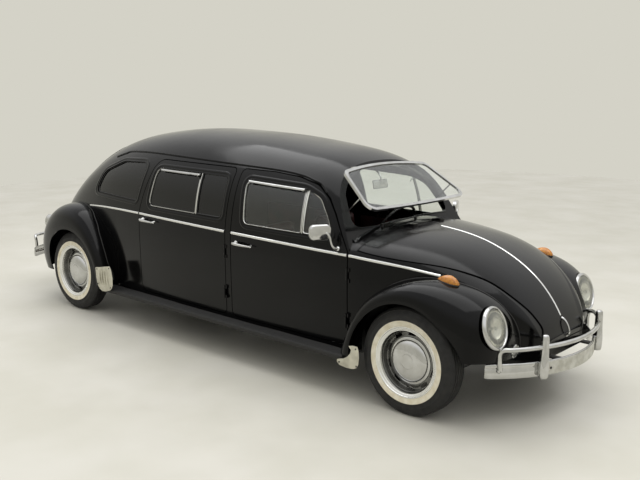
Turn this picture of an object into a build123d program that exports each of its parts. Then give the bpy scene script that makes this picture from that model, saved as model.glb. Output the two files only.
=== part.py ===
from build123d import *
import os
from math import atan2, cos, radians, sin

# Stretched four-door compact car with separate wings and running boards.
# Frame: the nose points along -Y, up is +Z, the car's left side is +X.
# The origin lies on the ground under the middle of the car. Millimetres.

# ---------------------------------------------------------------- overall sizes
wheelbase = 3300
front_overhang = 745
rear_overhang = 980
roof_height = 1496
belt_height = 860
floor_top = 250
body_half_width = 678
wing_half_width = 770

front_y = -(wheelbase + front_overhang + rear_overhang) / 2 + front_overhang
rear_y = front_y + wheelbase
nose_y = front_y - front_overhang
tail_y = rear_y + rear_overhang

# ---------------------------------------------------------------- walls and clearances
side_wall = 40
roof_wall = 26
sheet = 10
well_wall = 12
shut_gap = 6
lid_gap = 8
glass_depth = 12
glass_thickness = 5
glass_gap = 0.3
running_gap = 0.3

# ---------------------------------------------------------------- wheels
tyre_radius = 317
tyre_width = 148
rim_radius = 193
front_track = 1305
rear_track = 1290
axle_z = tyre_radius
arch_radius = 345
well_radius = 392
front_well_inner = 418
rear_well_inner = 545
steer_offset = 78
beam_y = front_y - 150
beam_radius = 32
beam_low_z = 262
beam_high_z = 372
axle_slot_radius = 75

# ---------------------------------------------------------------- door and lid lines
front_door_front = front_y + 495
front_door_rear = front_y + 1480
rear_door_front = front_y + 1540
rear_door_rear = rear_y - 812
door_bottom = floor_top + 42
cant_rail_z = belt_height + 428
cowl_front_mid = front_y + 375
cowl_front_side = front_y + 430
screen_base = (front_y + 556, 1002)
screen_top = (front_y + 729, 1296)
screen_lean = atan2(screen_top[0] - screen_base[0], screen_top[1] - screen_base[1])

os.makedirs("parts", exist_ok=True)


def station(y, breadth, shoulder, rise, sill, tuck, side=0.64, crown=0.62, lean=30):
    """One cross-section of the body: breadth and rise are shares of the two full sizes."""
    half = breadth * body_half_width
    top = shoulder + rise * (roof_height - belt_height)
    return dict(y=y, half=half, shoulder=shoulder, top=top, sill=sill, foot=half - tuck,
                side=side, crown=crown, lean=lean)


cabin_stations = [
    station(front_y + 380, 0.944, belt_height - 9, 0.420, floor_top, 24, 0.72, 0.74, 95),
    station(front_y + 520, 0.966, belt_height - 7, 0.570, floor_top, 24, 0.72, 0.75, 86),
    station(front_y + 640, 0.976, belt_height - 5, 0.690, floor_top, 24, 0.75, 0.77, 72),
    station(front_y + 760, 0.984, belt_height - 4, 0.790, floor_top, 24, 0.77, 0.78, 62),
    station(front_y + 900, 0.989, belt_height - 3, 0.866, floor_top, 24, 0.76, 0.76, 54),
    station(front_y + 1150, 0.995, belt_height - 2, 0.928, floor_top, 22, 0.74, 0.73, 46),
    station(front_y + 1500, 1.000, belt_height, 0.976, floor_top, 22, 0.72, 0.71, 42),
    station(rear_y - 1350, 0.998, belt_height + 2, 0.997, floor_top, 22, 0.71, 0.70, 40),
    station(rear_y - 900, 0.984, belt_height + 2, 0.985, floor_top, 22, 0.70, 0.70, 38),
    station(rear_y - 550, 0.955, belt_height - 2, 0.930, floor_top, 24, 0.70, 0.69, 34),
    station(rear_y - 250, 0.915, belt_height - 14, 0.840, floor_top + 4, 28, 0.69, 0.68, 28),
    station(rear_y, 0.860, belt_height - 42, 0.715, floor_top + 16, 30, 0.67, 0.66, 22),
    station(rear_y + 250, 0.785, belt_height - 100, 0.560, floor_top + 36, 30, 0.64, 0.62, 16),
    station(rear_y + 460, 0.685, belt_height - 178, 0.395, floor_top + 66, 26, 0.61, 0.60, 10),
    station(rear_y + 620, 0.565, belt_height - 262, 0.232, floor_top + 100, 20, 0.59, 0.58, 5),
    station(rear_y + 720, 0.440, belt_height - 345, 0.095, floor_top + 145, 14, 0.58, 0.57, 3),
]

nose_stations = [
    station(front_y + 640, 0.972, belt_height - 6, 0.232, floor_top, 24, 0.55, 0.62, 10),
    station(front_y + 500, 0.962, belt_height - 8, 0.226, floor_top, 24, 0.55, 0.62, 10),
    station(front_y + 320, 0.926, belt_height - 16, 0.224, floor_top + 20, 26, 0.55, 0.62, 10),
    station(front_y + 130, 0.872, belt_height - 32, 0.222, floor_top + 40, 28, 0.55, 0.62, 8),
    station(front_y - 50, 0.824, belt_height - 58, 0.210, floor_top + 50, 28, 0.55, 0.62, 8),
    station(front_y - 220, 0.764, belt_height - 102, 0.182, floor_top + 55, 28, 0.55, 0.60, 6),
    station(front_y - 370, 0.678, belt_height - 168, 0.150, floor_top + 60, 26, 0.55, 0.60, 6),
    station(front_y - 490, 0.566, belt_height - 246, 0.100, floor_top + 70, 22, 0.55, 0.58, 4),
    station(front_y - 570, 0.448, belt_height - 328, 0.052, floor_top + 85, 18, 0.55, 0.58, 3),
    station(front_y - 615, 0.330, belt_height - 408, 0.022, floor_top + 110, 14, 0.55, 0.58, 2),
]


def body_solid(stations, side_inset=0, roof_inset=0, end_inset=0, open_floor=0):
    """Loft the stations; the insets shrink the form for its inner skin or a pane's faces."""
    first = stations[0]["y"]
    last = stations[-1]["y"]
    tip = last - (last - first) * 0.25
    with BuildPart() as solid:
        for s in stations:
            near_end = max(0.0, (s["y"] - tip) / (last - tip))
            y = s["y"] - end_inset * near_end * (1 if last > first else -1)
            half = s["half"] - side_inset
            foot = s["foot"] - side_inset
            sill = s["sill"] - open_floor
            shoulder = s["shoulder"]
            top = s["top"] - roof_inset
            climb = shoulder - sill
            rise = top - shoulder
            with BuildSketch(Plane.XZ.offset(-y)):
                with BuildLine():
                    for side in (1, -1):
                        Bezier(
                            (side * foot, sill),
                            (side * (foot + 0.6 * (half - foot)), sill + 0.33 * climb),
                            (side * half, shoulder - 0.33 * climb),
                            (side * half, shoulder),
                        )
                        Bezier(
                            (side * half, shoulder),
                            (side * (half - s["lean"]), shoulder + s["side"] * rise),
                            (side * s["crown"] * half, top),
                            (0, top),
                        )
                    Line((-foot, sill), (foot, sill))
                make_face()
        loft()
    return solid.part


def slab(outline, near, far):
    """Prism across the car: an outline drawn in side view (y, z), from x = near to x = far."""
    with BuildPart() as prism:
        with BuildSketch(Plane.YZ.offset(near)):
            add(outline)
        extrude(amount=far - near)
    return prism.part


def side_polygon(points, radii=None):
    """Side-view outline (y, z) with each corner rounded by its own radius."""
    with BuildSketch() as outline:
        with BuildLine():
            if radii:
                FilletPolyline(*points, radius=radii, close=True)
            else:
                Polyline(*points, close=True)
        make_face()
    return outline.sketch


def block(x_range, y_range, z_range):
    """Plain box given by its ranges along the three axes."""
    with BuildPart() as box:
        middle = tuple((a + b) / 2 for a, b in (x_range, y_range, z_range))
        with Locations(middle):
            Box(*[b - a for a, b in (x_range, y_range, z_range)])
    return box.part


def across(y, z, radius, near, far):
    """Cylinder along X."""
    with BuildPart() as rod:
        with BuildSketch(Plane.YZ.offset(near)):
            with Locations((y, z)):
                Circle(radius)
        extrude(amount=far - near)
    return rod.part


def rod(start, end, radius):
    """Round bar between two points."""
    start = Vector(*start)
    run = Vector(*end) - start
    with BuildPart() as bar:
        with BuildSketch(Plane(origin=start, z_dir=run)):
            Circle(radius)
        extrude(amount=run.length)
    return bar.part


def mirrored(shape):
    """The same piece on the other side of the car."""
    return mirror(shape, about=Plane.YZ, mode=Mode.PRIVATE)


def combine(first, add_parts=(), cut_parts=(), keep=None):
    """Join and cut finished solids in one builder."""
    with BuildPart() as result:
        add(first)
        for piece in add_parts:
            add(piece)
        for piece in cut_parts:
            add(piece, mode=Mode.SUBTRACT)
        if keep is not None:
            add(keep, mode=Mode.INTERSECT)
    return result.part


def write(name, shape):
    """Label a finished sub-part and save it as its own node."""
    shape.label = name
    export_step(shape, f"parts/{name}.step")


barrel_radius = 7
barrel_half = 22
barrel_end = 44
hinge_room = 1.5
moving_span = [(-barrel_half, barrel_half)]
fixed_spans = [(-barrel_end, -barrel_half - running_gap), (barrel_half + running_gap, barrel_end)]


def knuckles(centre, along, spans, leaf, growth=0):
    """Hinge barrels on an axis along X or Z, each with a leaf block beside it.

    The leaf is given by its two ranges across the axis, from the centre.
    """
    cx, cy, cz = centre
    (u0, u1), (v0, v1) = [(a - growth, b + growth) for a, b in leaf]
    pieces = []
    for start, end in spans:
        start, end = start - growth, end + growth
        if along == "X":
            pieces.append(across(cy, cz, barrel_radius + growth, cx + start, cx + end))
            pieces.append(block((cx + start, cx + end), (cy + u0, cy + u1), (cz + v0, cz + v1)))
        else:
            pieces.append(rod((cx, cy, cz + start), (cx, cy, cz + end), barrel_radius + growth))
            pieces.append(block((cx + u0, cx + u1), (cy + v0, cy + v1), (cz + start, cz + end)))
    return pieces


def hinged(shape, own, room):
    """A panel relieved around the other panel's hinge barrels, with its own barrels added."""
    return combine(combine(shape, cut_parts=room), add_parts=own)


def hinge_set(centres, along, moving_leaf, fixed_leaf):
    """Barrels and relief solids of a row of hinges: (moving, its room, fixed, its room)."""
    result = []
    for spans, leaf in ((moving_span, moving_leaf), (fixed_spans, fixed_leaf)):
        for growth in (0, hinge_room):
            result.append([p for c in centres for p in knuckles(c, along, spans, leaf, growth)])
    return result


# ---------------------------------------------------------------- side-view lines
def forward(*points):
    """Side-view points given from the front axle, with heights from the ground."""
    return [(front_y + y, z) for y, z in points]


pillar_line = [
    (front_door_front - shut_gap, belt_height + 4),
    (front_y + 556, belt_height + 98),
    (front_y + 634, belt_height + 218),
    (front_y + 706, belt_height + 306),
    (front_y + 812, belt_height + 378),
    (front_y + 980, belt_height + 414),
    (front_y + 1200, cant_rail_z),
]
high = roof_height + 100
low = floor_top - 100
wide = wing_half_width + 100


front_door_shape = side_polygon(
    [
        (front_door_front, door_bottom),
        (front_door_front, belt_height + 2),
        (front_y + 564, belt_height + 96),
        (front_y + 642, belt_height + 214),
        (front_y + 713, belt_height + 300),
        (front_y + 816, belt_height + 371),
        (front_y + 982, belt_height + 407),
        (front_y + 1200, cant_rail_z - shut_gap),
        (front_door_rear, cant_rail_z - shut_gap),
        (front_door_rear, door_bottom),
    ],
    [40, 50, 300, 300, 200, 150, 400, 600, 30, 40],
)
rear_door_shape = side_polygon(
    [
        (rear_door_front, door_bottom),
        (rear_door_front, cant_rail_z - shut_gap),
        (rear_door_rear - 110, cant_rail_z - shut_gap),
        (rear_door_rear, belt_height + 40),
        (rear_door_rear, door_bottom),
    ],
    [40, 30, 110, 400, 60],
)
front_window_shape = side_polygon(
    [
        (front_y + 612, belt_height + 72),
        (front_y + 686, belt_height + 196),
        (front_y + 764, belt_height + 300),
        (front_y + 900, belt_height + 350),
        (front_door_rear - 64, belt_height + 366),
        (front_door_rear - 104, belt_height + 72),
    ],
    [36, 300, 120, 300, 46, 46],
)
rear_window_shape = side_polygon(
    [
        (rear_door_front + 46, belt_height + 84),
        (rear_door_front + 46, belt_height + 366),
        (rear_door_rear - 132, belt_height + 366),
        (rear_door_rear - 100, belt_height + 84),
    ],
    [46, 46, 70, 46],
)
quarter_window_shape = side_polygon(
    [
        (rear_door_rear + 54, belt_height + 100),
        (rear_door_rear - 6, belt_height + 392),
        (rear_door_rear + 340, belt_height + 376),
        (rear_door_rear + 585, belt_height + 280),
        (rear_door_rear + 655, belt_height + 112),
    ],
    [40, 60, 240, 110, 40],
)


def grown(outline, amount):
    """Outline offset outward, or inward for a negative amount."""
    with BuildSketch() as result:
        add(outline)
        offset(amount=amount)
    return result.sketch


# ---------------------------------------------------------------- body shell
cabin_outer = body_solid(cabin_stations)
cabin_inner = body_solid(cabin_stations, side_wall, roof_wall, side_wall, 60)
nose_outer = body_solid(nose_stations)
nose_inner = body_solid(nose_stations, side_wall - 16, 16, side_wall - 10, -14)


def wheel_wells(y, inner, growth):
    """The two wheel houses of one axle, as solids to cut from the body."""
    with BuildPart() as wells:
        for side in (1, -1):
            near = side * (inner - growth)
            add(across(y, axle_z, well_radius + growth, near, side * wide))
    return wells.part


under_floor = block((-wide, wide), (nose_y, rear_y), (0, floor_top))
front_wells = wheel_wells(front_y, front_well_inner, 0)
front_wells_lining = wheel_wells(front_y, front_well_inner, well_wall)
rear_wells = wheel_wells(rear_y, rear_well_inner, 0)
rear_wells_lining = wheel_wells(rear_y, rear_well_inner, well_wall)

screen_rise = (screen_top[0] - screen_base[0], screen_top[1] - screen_base[1])
ahead_of_screen = slab(
    side_polygon([
        (screen_base[0] - 0.6 * screen_rise[0], screen_base[1] - 0.6 * screen_rise[1]),
        (screen_top[0] + screen_rise[0], screen_top[1] + screen_rise[1]),
        (front_y + 200, screen_top[1] + screen_rise[1]),
        (front_y + 200, screen_base[1] - 0.6 * screen_rise[1]),
    ]),
    -wide, wide,
)
behind_screen = slab(
    side_polygon([
        (screen_base[0] - 0.2 * screen_rise[0], screen_base[1] - 0.2 * screen_rise[1]),
        (screen_top[0], screen_top[1]),
        (front_y + 900, screen_top[1]),
        (front_y + 900, screen_base[1] - 0.2 * screen_rise[1]),
    ]),
    -wide, wide,
)

beam_half_depth = beam_radius + 10


def beam_channel(growth):
    """Channel across the underside that the front axle beam lies in."""
    reach = beam_half_depth + growth
    return block((-wide, wide), (beam_y - reach, beam_y + reach), (0, beam_high_z + reach))


nose_cut = combine(nose_outer, cut_parts=[front_wells, beam_channel(0), under_floor])
nose_space = combine(nose_inner, cut_parts=[front_wells_lining, beam_channel(well_wall)])
nose_shell = combine(nose_cut, cut_parts=[nose_space])
door_zone = slab(
    side_polygon(
        [(front_door_front - shut_gap, low)] + pillar_line[:3]
        + [(front_y + 900, belt_height + 218), (front_y + 900, low)]
    ),
    -wide, wide,
)
nose_panels = combine(nose_shell, cut_parts=[door_zone, behind_screen])

cabin_space = combine(cabin_inner, cut_parts=[rear_wells_lining])
axle_slot = across(rear_y, axle_z, axle_slot_radius, -wide, wide)
cabin_cut = combine(
    cabin_outer, cut_parts=[rear_wells, ahead_of_screen, nose_outer, under_floor, axle_slot]
)
cabin_shell = combine(
    cabin_cut,
    cut_parts=[cabin_space, block((-wide, wide), (front_y, front_door_front - shut_gap), (0, high))],
)
rear_line = [(rear_door_rear + 20, belt_height + 44), (rear_door_rear - 88, cant_rail_z)]
roof_zone = slab(
    side_polygon(
        pillar_line
        + [rear_line[1], (rear_line[1][0], high), (front_door_front - shut_gap, high)]
    ),
    -wide, wide,
)
rear_zone = slab(
    side_polygon(
        [(rear_line[0][0], low)] + rear_line
        + [(rear_line[1][0], high), (tail_y, high), (tail_y, low)]
    ),
    -wide, wide,
)

front_door_hole = slab(grown(front_door_shape, shut_gap), -wide, wide)
rear_door_hole = slab(grown(rear_door_shape, shut_gap), -wide, wide)


def rear_view(points, radii, near, far):
    """Prism along the car from an outline in rear view (x, z)."""
    with BuildPart() as prism:
        with BuildSketch(Plane.XZ.offset(-far)):
            with BuildLine():
                FilletPolyline(*points, radius=radii, close=True)
            make_face()
        extrude(amount=far - near)
    return prism.part


def lid_prism(growth):
    """The engine lid's outline, wider at the foot than at the top."""
    top = belt_height + 118 + growth
    foot = belt_height - 318 - growth
    return rear_view(
        [(-268 - growth, top), (268 + growth, top), (352 + growth, foot + 150),
         (236 + growth, foot), (-236 - growth, foot), (-352 - growth, foot + 150)],
        [90, 90, 150, 90, 90, 150],
        rear_y + 180, tail_y,
    )


def back_window_prism(growth):
    half = 372 + growth
    return rear_view(
        [(-half, belt_height + 232 - growth), (half, belt_height + 232 - growth),
         (half - 40, belt_height + 440 + growth), (-half + 40, belt_height + 440 + growth)],
        [70, 70, 100, 100],
        rear_y - 420, rear_y + 520,
    )


roof_panel = combine(cabin_shell, cut_parts=[front_door_hole, rear_door_hole], keep=roof_zone)
lower_shell = combine(cabin_shell, cut_parts=[roof_zone, rear_zone, front_door_hole, rear_door_hole])
side_frame_right = combine(
    lower_shell, keep=block((-wide, 0), (nose_y, tail_y), (0, high))
).solids().sort_by(SortBy.VOLUME)[-1]
quarter_prism = slab(quarter_window_shape, -wide, wide)
rear_body = combine(
    cabin_shell,
    cut_parts=[quarter_prism, lid_prism(lid_gap), back_window_prism(0)],
    keep=rear_zone,
)
engine_lid = combine(cabin_shell, keep=lid_prism(0))


def on_tail(x, z):
    """Rearmost point of the tail's outer skin."""
    row = rod((x, rear_y + 200, z), (x, tail_y, z), 0.5)
    return combine(row, keep=cabin_outer).bounding_box().max.Y


lid_hinge_x = 150
lid_hinge_z = belt_height + 118 + shut_gap / 2
lid_hinge_y = on_tail(lid_hinge_x, lid_hinge_z) + 2
lid_moving, lid_moving_room, lid_fixed, lid_fixed_room = hinge_set(
    [(x, lid_hinge_y, lid_hinge_z) for x in (-lid_hinge_x, lid_hinge_x)], "X",
    ((-18, 0), (-18, 0)), ((-18, 0), (0, 8)),
)
engine_lid = hinged(engine_lid, lid_moving, lid_fixed_room)
rear_body = hinged(rear_body, lid_fixed, lid_moving_room)

# ---------------------------------------------------------------- bonnet, cowl and front body
hood_seam = forward(
    (430, 887), (250, 869), (100, 862), (0, 858), (-100, 849), (-200, 828), (-313, 786),
    (-387, 742), (-441, 701), (-516, 628), (-560, 569), (-590, 515), (-606, 440),
)


def hood_zone(growth):
    """Everything above the bonnet's side seam and ahead of its curved rear edge."""
    points = []
    for i, (y, z) in enumerate(hood_seam):
        before = hood_seam[max(i - 1, 0)]
        after = hood_seam[min(i + 1, len(hood_seam) - 1)]
        run = Vector(after[0] - before[0], after[1] - before[1]).normalized()
        points.append((y - run.Y * growth, z + run.X * growth))
    foot_z = hood_seam[-1][1] - growth
    with BuildPart() as zone:
        with BuildSketch(Plane.YZ.offset(-wide)):
            with BuildLine():
                seam = Spline(*points)
                Polyline(seam @ 1, (points[-1][0], foot_z - 1), (nose_y, foot_z - 1), (nose_y, high),
                         (front_y + 600, high), (front_y + 600, points[0][1]), seam @ 0)
            make_face()
        extrude(amount=2 * wide)
        with BuildSketch(Plane.XY.offset(low)):
            with BuildLine():
                edge = ThreePointArc(
                    (-wide, cowl_front_side + 60 + growth), (0, cowl_front_mid + growth),
                    (wide, cowl_front_side + 60 + growth),
                )
                Polyline(edge @ 1, (wide, front_y + 900), (-wide, front_y + 900), edge @ 0)
            make_face()
        extrude(amount=high - low, mode=Mode.SUBTRACT)
    return zone.part


bonnet = combine(nose_shell, keep=hood_zone(0))
nose_left_over = combine(nose_panels, cut_parts=[hood_zone(shut_gap)])
cowl_split = front_y + 340
cowl_zone = block((-wide, wide), (cowl_split, front_y + 800), (belt_height - 60, high))
cowl_panel = combine(nose_left_over, keep=cowl_zone)
front_body = combine(nose_left_over, cut_parts=[cowl_zone])


def on_cowl(x, y):
    """Height of the cowl's outer skin."""
    column = rod((x, y, belt_height - 100), (x, y, high), 0.5)
    return combine(column, keep=nose_outer).bounding_box().max.Z


bonnet_hinge_x = 150
bonnet_hinge_y = front_y + 400
bonnet_hinge_z = on_cowl(bonnet_hinge_x, bonnet_hinge_y) + 6
bonnet_moving, bonnet_moving_room, bonnet_fixed, bonnet_fixed_room = hinge_set(
    [(x, bonnet_hinge_y, bonnet_hinge_z) for x in (-bonnet_hinge_x, bonnet_hinge_x)], "X",
    ((-44, 0), (-12, 5)), ((0, 14), (-12, 0)),
)
bonnet = hinged(bonnet, bonnet_moving, bonnet_fixed_room)
cowl_panel = hinged(cowl_panel, bonnet_fixed, bonnet_moving_room)


# ---------------------------------------------------------------- doors and fixed glass
pane_outer = body_solid(cabin_stations, glass_depth, glass_depth, glass_depth)
pane_inner = body_solid(
    cabin_stations, glass_depth + glass_thickness, glass_depth + glass_thickness,
    glass_depth + glass_thickness, 60,
)
pane_skin = combine(pane_outer, cut_parts=[pane_inner])
door_skin = combine(cabin_outer, cut_parts=[cabin_inner])

front_window_hole = slab(front_window_shape, -wide, wide)
rear_window_hole = slab(rear_window_shape, -wide, wide)


def pane(outline):
    """Curved glass that fills one side window on the right-hand side."""
    return combine(pane_skin, keep=slab(grown(outline, -glass_gap), -wide, 0))


door_front_right = combine(
    door_skin, cut_parts=[front_window_hole], keep=slab(front_door_shape, -wide, 0)
)
door_rear_right = combine(
    door_skin, cut_parts=[rear_window_hole], keep=slab(rear_door_shape, -wide, 0)
)

# Door hinges: vertical barrels just outside the skin, in the gap ahead of each door.
hinge_heights = (floor_top + 200, belt_height - 130)
leaf_depth = 18
front_hinge = (-0.968 * body_half_width, front_door_front - shut_gap / 2)
rear_hinge = (-1.005 * body_half_width, rear_door_front - shut_gap / 2)
door_leaf = ((0, leaf_depth + 4), (0, leaf_depth))
pillar_leaf = ((0, leaf_depth + 4), (-leaf_depth, 0))
front_moving, front_moving_room, front_fixed, front_fixed_room = hinge_set(
    [(*front_hinge, z) for z in hinge_heights], "Z", door_leaf, pillar_leaf
)
rear_moving, rear_moving_room, rear_fixed, rear_fixed_room = hinge_set(
    [(*rear_hinge, z) for z in hinge_heights], "Z", door_leaf, pillar_leaf
)
door_front_right = hinged(door_front_right, front_moving, front_fixed_room)
door_rear_right = hinged(door_rear_right, rear_moving, rear_fixed_room)
side_frame_right = hinged(side_frame_right, rear_fixed, rear_moving_room)
front_body = hinged(
    front_body,
    front_fixed + [mirrored(p) for p in front_fixed],
    front_moving_room + [mirrored(p) for p in front_moving_room],
)
glass_front_right = pane(front_window_shape)
glass_rear_right = pane(rear_window_shape)
glass_quarter_right = pane(quarter_window_shape)
back_glass = combine(pane_skin, keep=back_window_prism(-glass_gap))


# ---------------------------------------------------------------- wings
def wing_shell(axle_y, sections, bottom, bodies):
    """Right-hand wing: profiles in planes through the wheel's axis, lofted around the wheel.

    Each section gives the angle up from straight ahead, the root (half width, radius),
    the two handles of its curve and the lip (half width, radius).
    """
    with BuildPart() as wing:
        for angle, root, first, second, lip in sections:
            a = radians(angle)
            plane = Plane(
                origin=(0, axle_y, axle_z), x_dir=(-1, 0, 0), z_dir=(0, sin(a), cos(a))
            )
            with BuildSketch(plane):
                with BuildLine():
                    Bezier(root, first, second, lip)
                    Line(lip, (lip[0] - sheet, lip[1]))
                    Bezier(
                        (lip[0] - sheet, lip[1]), (second[0] - sheet, second[1] - sheet),
                        (first[0] - sheet / 2, first[1] - sheet), (root[0], root[1] - sheet),
                    )
                    Line((root[0], root[1] - sheet), root)
                make_face()
        loft()
        for body in bodies:
            add(body, mode=Mode.SUBTRACT)
        with Locations((0, axle_y, bottom - 500)):
            Box(4 * wide, 4 * wide, 1000, mode=Mode.SUBTRACT)
    return wing.part.solids().sort_by(SortBy.VOLUME)[-1]


wide_lip = wing_half_width
front_wing_sections = [
    (-22, (330, 495), (460, 505), (630, 450), (650, 395)),
    (0, (330, 512), (470, 530), (650, 480), (690, 380)),
    (16, (350, 532), (500, 556), (690, 522), (716, 366)),
    (32, (380, 556), (540, 590), (736, 566), (740, arch_radius + 10)),
    (50, (420, 534), (580, 552), (764, 540), (wide_lip - 8, arch_radius)),
    (70, (450, 494), (610, 503), (782, 494), (wide_lip - 2, arch_radius)),
    (90, (480, 464), (640, 471), (786, 466), (wide_lip, arch_radius)),
    (110, (510, 444), (660, 450), (784, 446), (wide_lip - 2, arch_radius)),
    (132, (540, 434), (680, 438), (780, 434), (wide_lip - 6, arch_radius + 4)),
    (156, (560, 440), (690, 440), (772, 432), (wide_lip - 12, arch_radius + 22)),
    (178, (580, 478), (690, 476), (762, 466), (wide_lip - 18, arch_radius + 44)),
    (196, (590, 505), (690, 502), (754, 492), (wide_lip - 24, arch_radius + 60)),
]
rear_wing_sections = [
    (-14, (580, 452), (700, 450), (762, 440), (wide_lip - 20, arch_radius + 32)),
    (4, (570, 432), (700, 434), (768, 428), (wide_lip - 12, arch_radius + 16)),
    (24, (560, 424), (700, 432), (776, 432), (wide_lip - 6, arch_radius + 6)),
    (46, (550, 446), (690, 458), (782, 456), (wide_lip - 2, arch_radius)),
    (68, (530, 490), (680, 506), (786, 500), (wide_lip, arch_radius)),
    (90, (500, 528), (660, 548), (786, 536), (wide_lip, arch_radius)),
    (112, (470, 550), (640, 574), (780, 560), (wide_lip - 4, arch_radius)),
    (134, (430, 566), (610, 594), (764, 578), (wide_lip - 16, arch_radius + 4)),
    (156, (390, 576), (580, 606), (738, 590), (wide_lip - 40, arch_radius + 14)),
    (176, (360, 576), (550, 602), (702, 584), (wide_lip - 72, arch_radius + 26)),
    (192, (340, 570), (520, 592), (662, 572), (wide_lip - 106, arch_radius + 40)),
]
front_wing_bottom = 270
front_wing_nose_bottom = 394
rear_wing_bottom = 262
door_clear = block((-wide, wide), (front_door_front - shut_gap, rear_y), (0, high))
below_wing_nose = block((-wide, wide), (nose_y - 100, front_y), (0, front_wing_nose_bottom))
front_wing_full = wing_shell(
    front_y, front_wing_sections, front_wing_bottom, [nose_outer, door_clear, below_wing_nose]
)
rear_wing_right = wing_shell(rear_y, rear_wing_sections, rear_wing_bottom, [cabin_outer])


# ---------------------------------------------------------------- lamps on the wings
lamp_x = 563
lamp_z = axle_z + 264
lamp_y = front_y - 467
lamp_half_width = 116
lamp_half_height = 122
lamp_rim = 15
lamp_lean = 17
lamp_depth = 70
signal_width = 74
signal_length = 118
signal_top = axle_z + 480


def lamp_plane(x):
    """Plane of a headlamp's rim, leaning back; its normal points ahead."""
    a = radians(lamp_lean)
    return Plane(origin=(x, lamp_y, lamp_z), x_dir=(1, 0, 0), z_dir=(0, -cos(a), sin(a)))


with BuildPart() as lamp_pocket:
    with BuildSketch(lamp_plane(-lamp_x)):
        Ellipse(lamp_half_width, lamp_half_height)
    extrude(amount=-lamp_depth - 60)
    with BuildSketch(lamp_plane(-lamp_x)):
        Ellipse(lamp_half_width, lamp_half_height)
    extrude(amount=120)

with BuildPart() as headlamp_right:
    with BuildSketch(lamp_plane(-lamp_x)):
        Ellipse(lamp_half_width, lamp_half_height)
    extrude(amount=-lamp_depth)
    with BuildSketch(lamp_plane(-lamp_x)):
        Ellipse(lamp_half_width, lamp_half_height)
    extrude(amount=14)
    fillet(headlamp_right.edges().group_by(Axis.Y)[0], 8)
    with BuildSketch(lamp_plane(-lamp_x).offset(-20)):
        Ellipse(lamp_half_width - lamp_rim, lamp_half_height - lamp_rim)
    extrude(amount=60, mode=Mode.SUBTRACT)

with BuildPart() as headlamp_glass_right:
    with BuildSketch(lamp_plane(-lamp_x).offset(-20)):
        Ellipse(lamp_half_width - lamp_rim - glass_gap, lamp_half_height - lamp_rim - glass_gap)
    extrude(amount=32)

front_wing_right = combine(front_wing_full, cut_parts=[lamp_pocket.part])
front_wing_right = front_wing_right.solids().sort_by(SortBy.VOLUME)[-1]

with BuildPart() as signal_block:
    with BuildSketch(Plane.XY.offset(axle_z + 400)):
        with BuildLine():
            nose = ThreePointArc(
                (-lamp_x - 4 - signal_width / 2, front_y - 200),
                (-lamp_x - 4, front_y - 200 - signal_width / 2),
                (-lamp_x - 4 + signal_width / 2, front_y - 200),
            )
            tip = (-lamp_x - 6, front_y - 200 + signal_length)
            Bezier(nose @ 1, (-lamp_x - 4 + signal_width / 2, front_y - 140), tip)
            Bezier(tip, (-lamp_x - 4 - signal_width / 2, front_y - 140), nose @ 0)
        make_face()
    extrude(amount=signal_top - axle_z - 400)
    add(front_wing_right, mode=Mode.SUBTRACT)
turn_signal_right = signal_block.part.solids().sort_by(Axis.Z)[-1]

tail_lamp_x = 612
tail_lamp_z = axle_z + 330
tail_lamp_y = rear_y + 420
with BuildPart() as tail_lamp_block:
    with BuildSketch(Plane.XZ.offset(-tail_lamp_y - 90)):
        with Locations((-tail_lamp_x, tail_lamp_z)):
            Ellipse(42, 62)
    extrude(amount=150)
    fillet(tail_lamp_block.edges().group_by(Axis.Y)[-1], 22)
    add(rear_wing_right, mode=Mode.SUBTRACT)
tail_lamp_right = tail_lamp_block.part.solids().sort_by(Axis.Y)[-1]

# ---------------------------------------------------------------- running boards
board_inner = 640
board_outer = 748
board_bottom = floor_top - 20
board_top = floor_top + 14
with BuildPart() as running_board_block:
    add(block((-board_outer, -board_inner), (front_y + 440, rear_y - 440), (board_bottom, board_top)))
    fillet(running_board_block.edges().filter_by(Axis.Y).sort_by(Axis.X)[:2], 9)
    add(cabin_outer, mode=Mode.SUBTRACT)
    add(nose_outer, mode=Mode.SUBTRACT)
    add(front_wing_right, mode=Mode.SUBTRACT)
    add(rear_wing_right, mode=Mode.SUBTRACT)
running_board_right = running_board_block.part.solids().sort_by(SortBy.VOLUME)[-1]

# ---------------------------------------------------------------- floor pan
pan_thickness = 25
tunnel_half_width = 95
tunnel_height = 120
frame_head_half = 170
gearbox_front = rear_y - 430
gearbox_half = 120
rear_wall_y = rear_y - 300
wall_plate = 14
rear_pan_half = rear_well_inner - well_wall - 4
with BuildPart() as floor_pan:
    add(block((-board_inner, board_inner), (front_door_front - 6, gearbox_front),
              (floor_top - pan_thickness, floor_top)))
    with BuildSketch(Plane.XZ.offset(-(front_door_front - 6))):
        with BuildLine():
            arch = Polyline((-tunnel_half_width, floor_top), (-tunnel_half_width + 15, floor_top + tunnel_height),
                            (tunnel_half_width - 15, floor_top + tunnel_height), (tunnel_half_width, floor_top),
                            close=True)
        make_face()
    extrude(amount=-(gearbox_front - front_door_front + 6))
    fillet(floor_pan.edges().filter_by(Axis.Y).group_by(Axis.Z)[-1], 18)
    add(block((-frame_head_half, frame_head_half), (beam_y + beam_radius, front_door_front - 6),
              (floor_top - pan_thickness, floor_top)))
    add(block((-rear_pan_half, rear_pan_half), (gearbox_front, rear_wall_y + wall_plate),
              (floor_top - pan_thickness, floor_top)))
    add(block((-gearbox_half - 10, gearbox_half + 10), (gearbox_front, rear_wall_y + 100),
              (0, high)), mode=Mode.SUBTRACT)

# ---------------------------------------------------------------- front suspension and steering
beam_half = 455
kingpin_x = front_track / 2 - steer_offset
arm_thickness = 24
pin_radius = 17
stub_radius = 14


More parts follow.
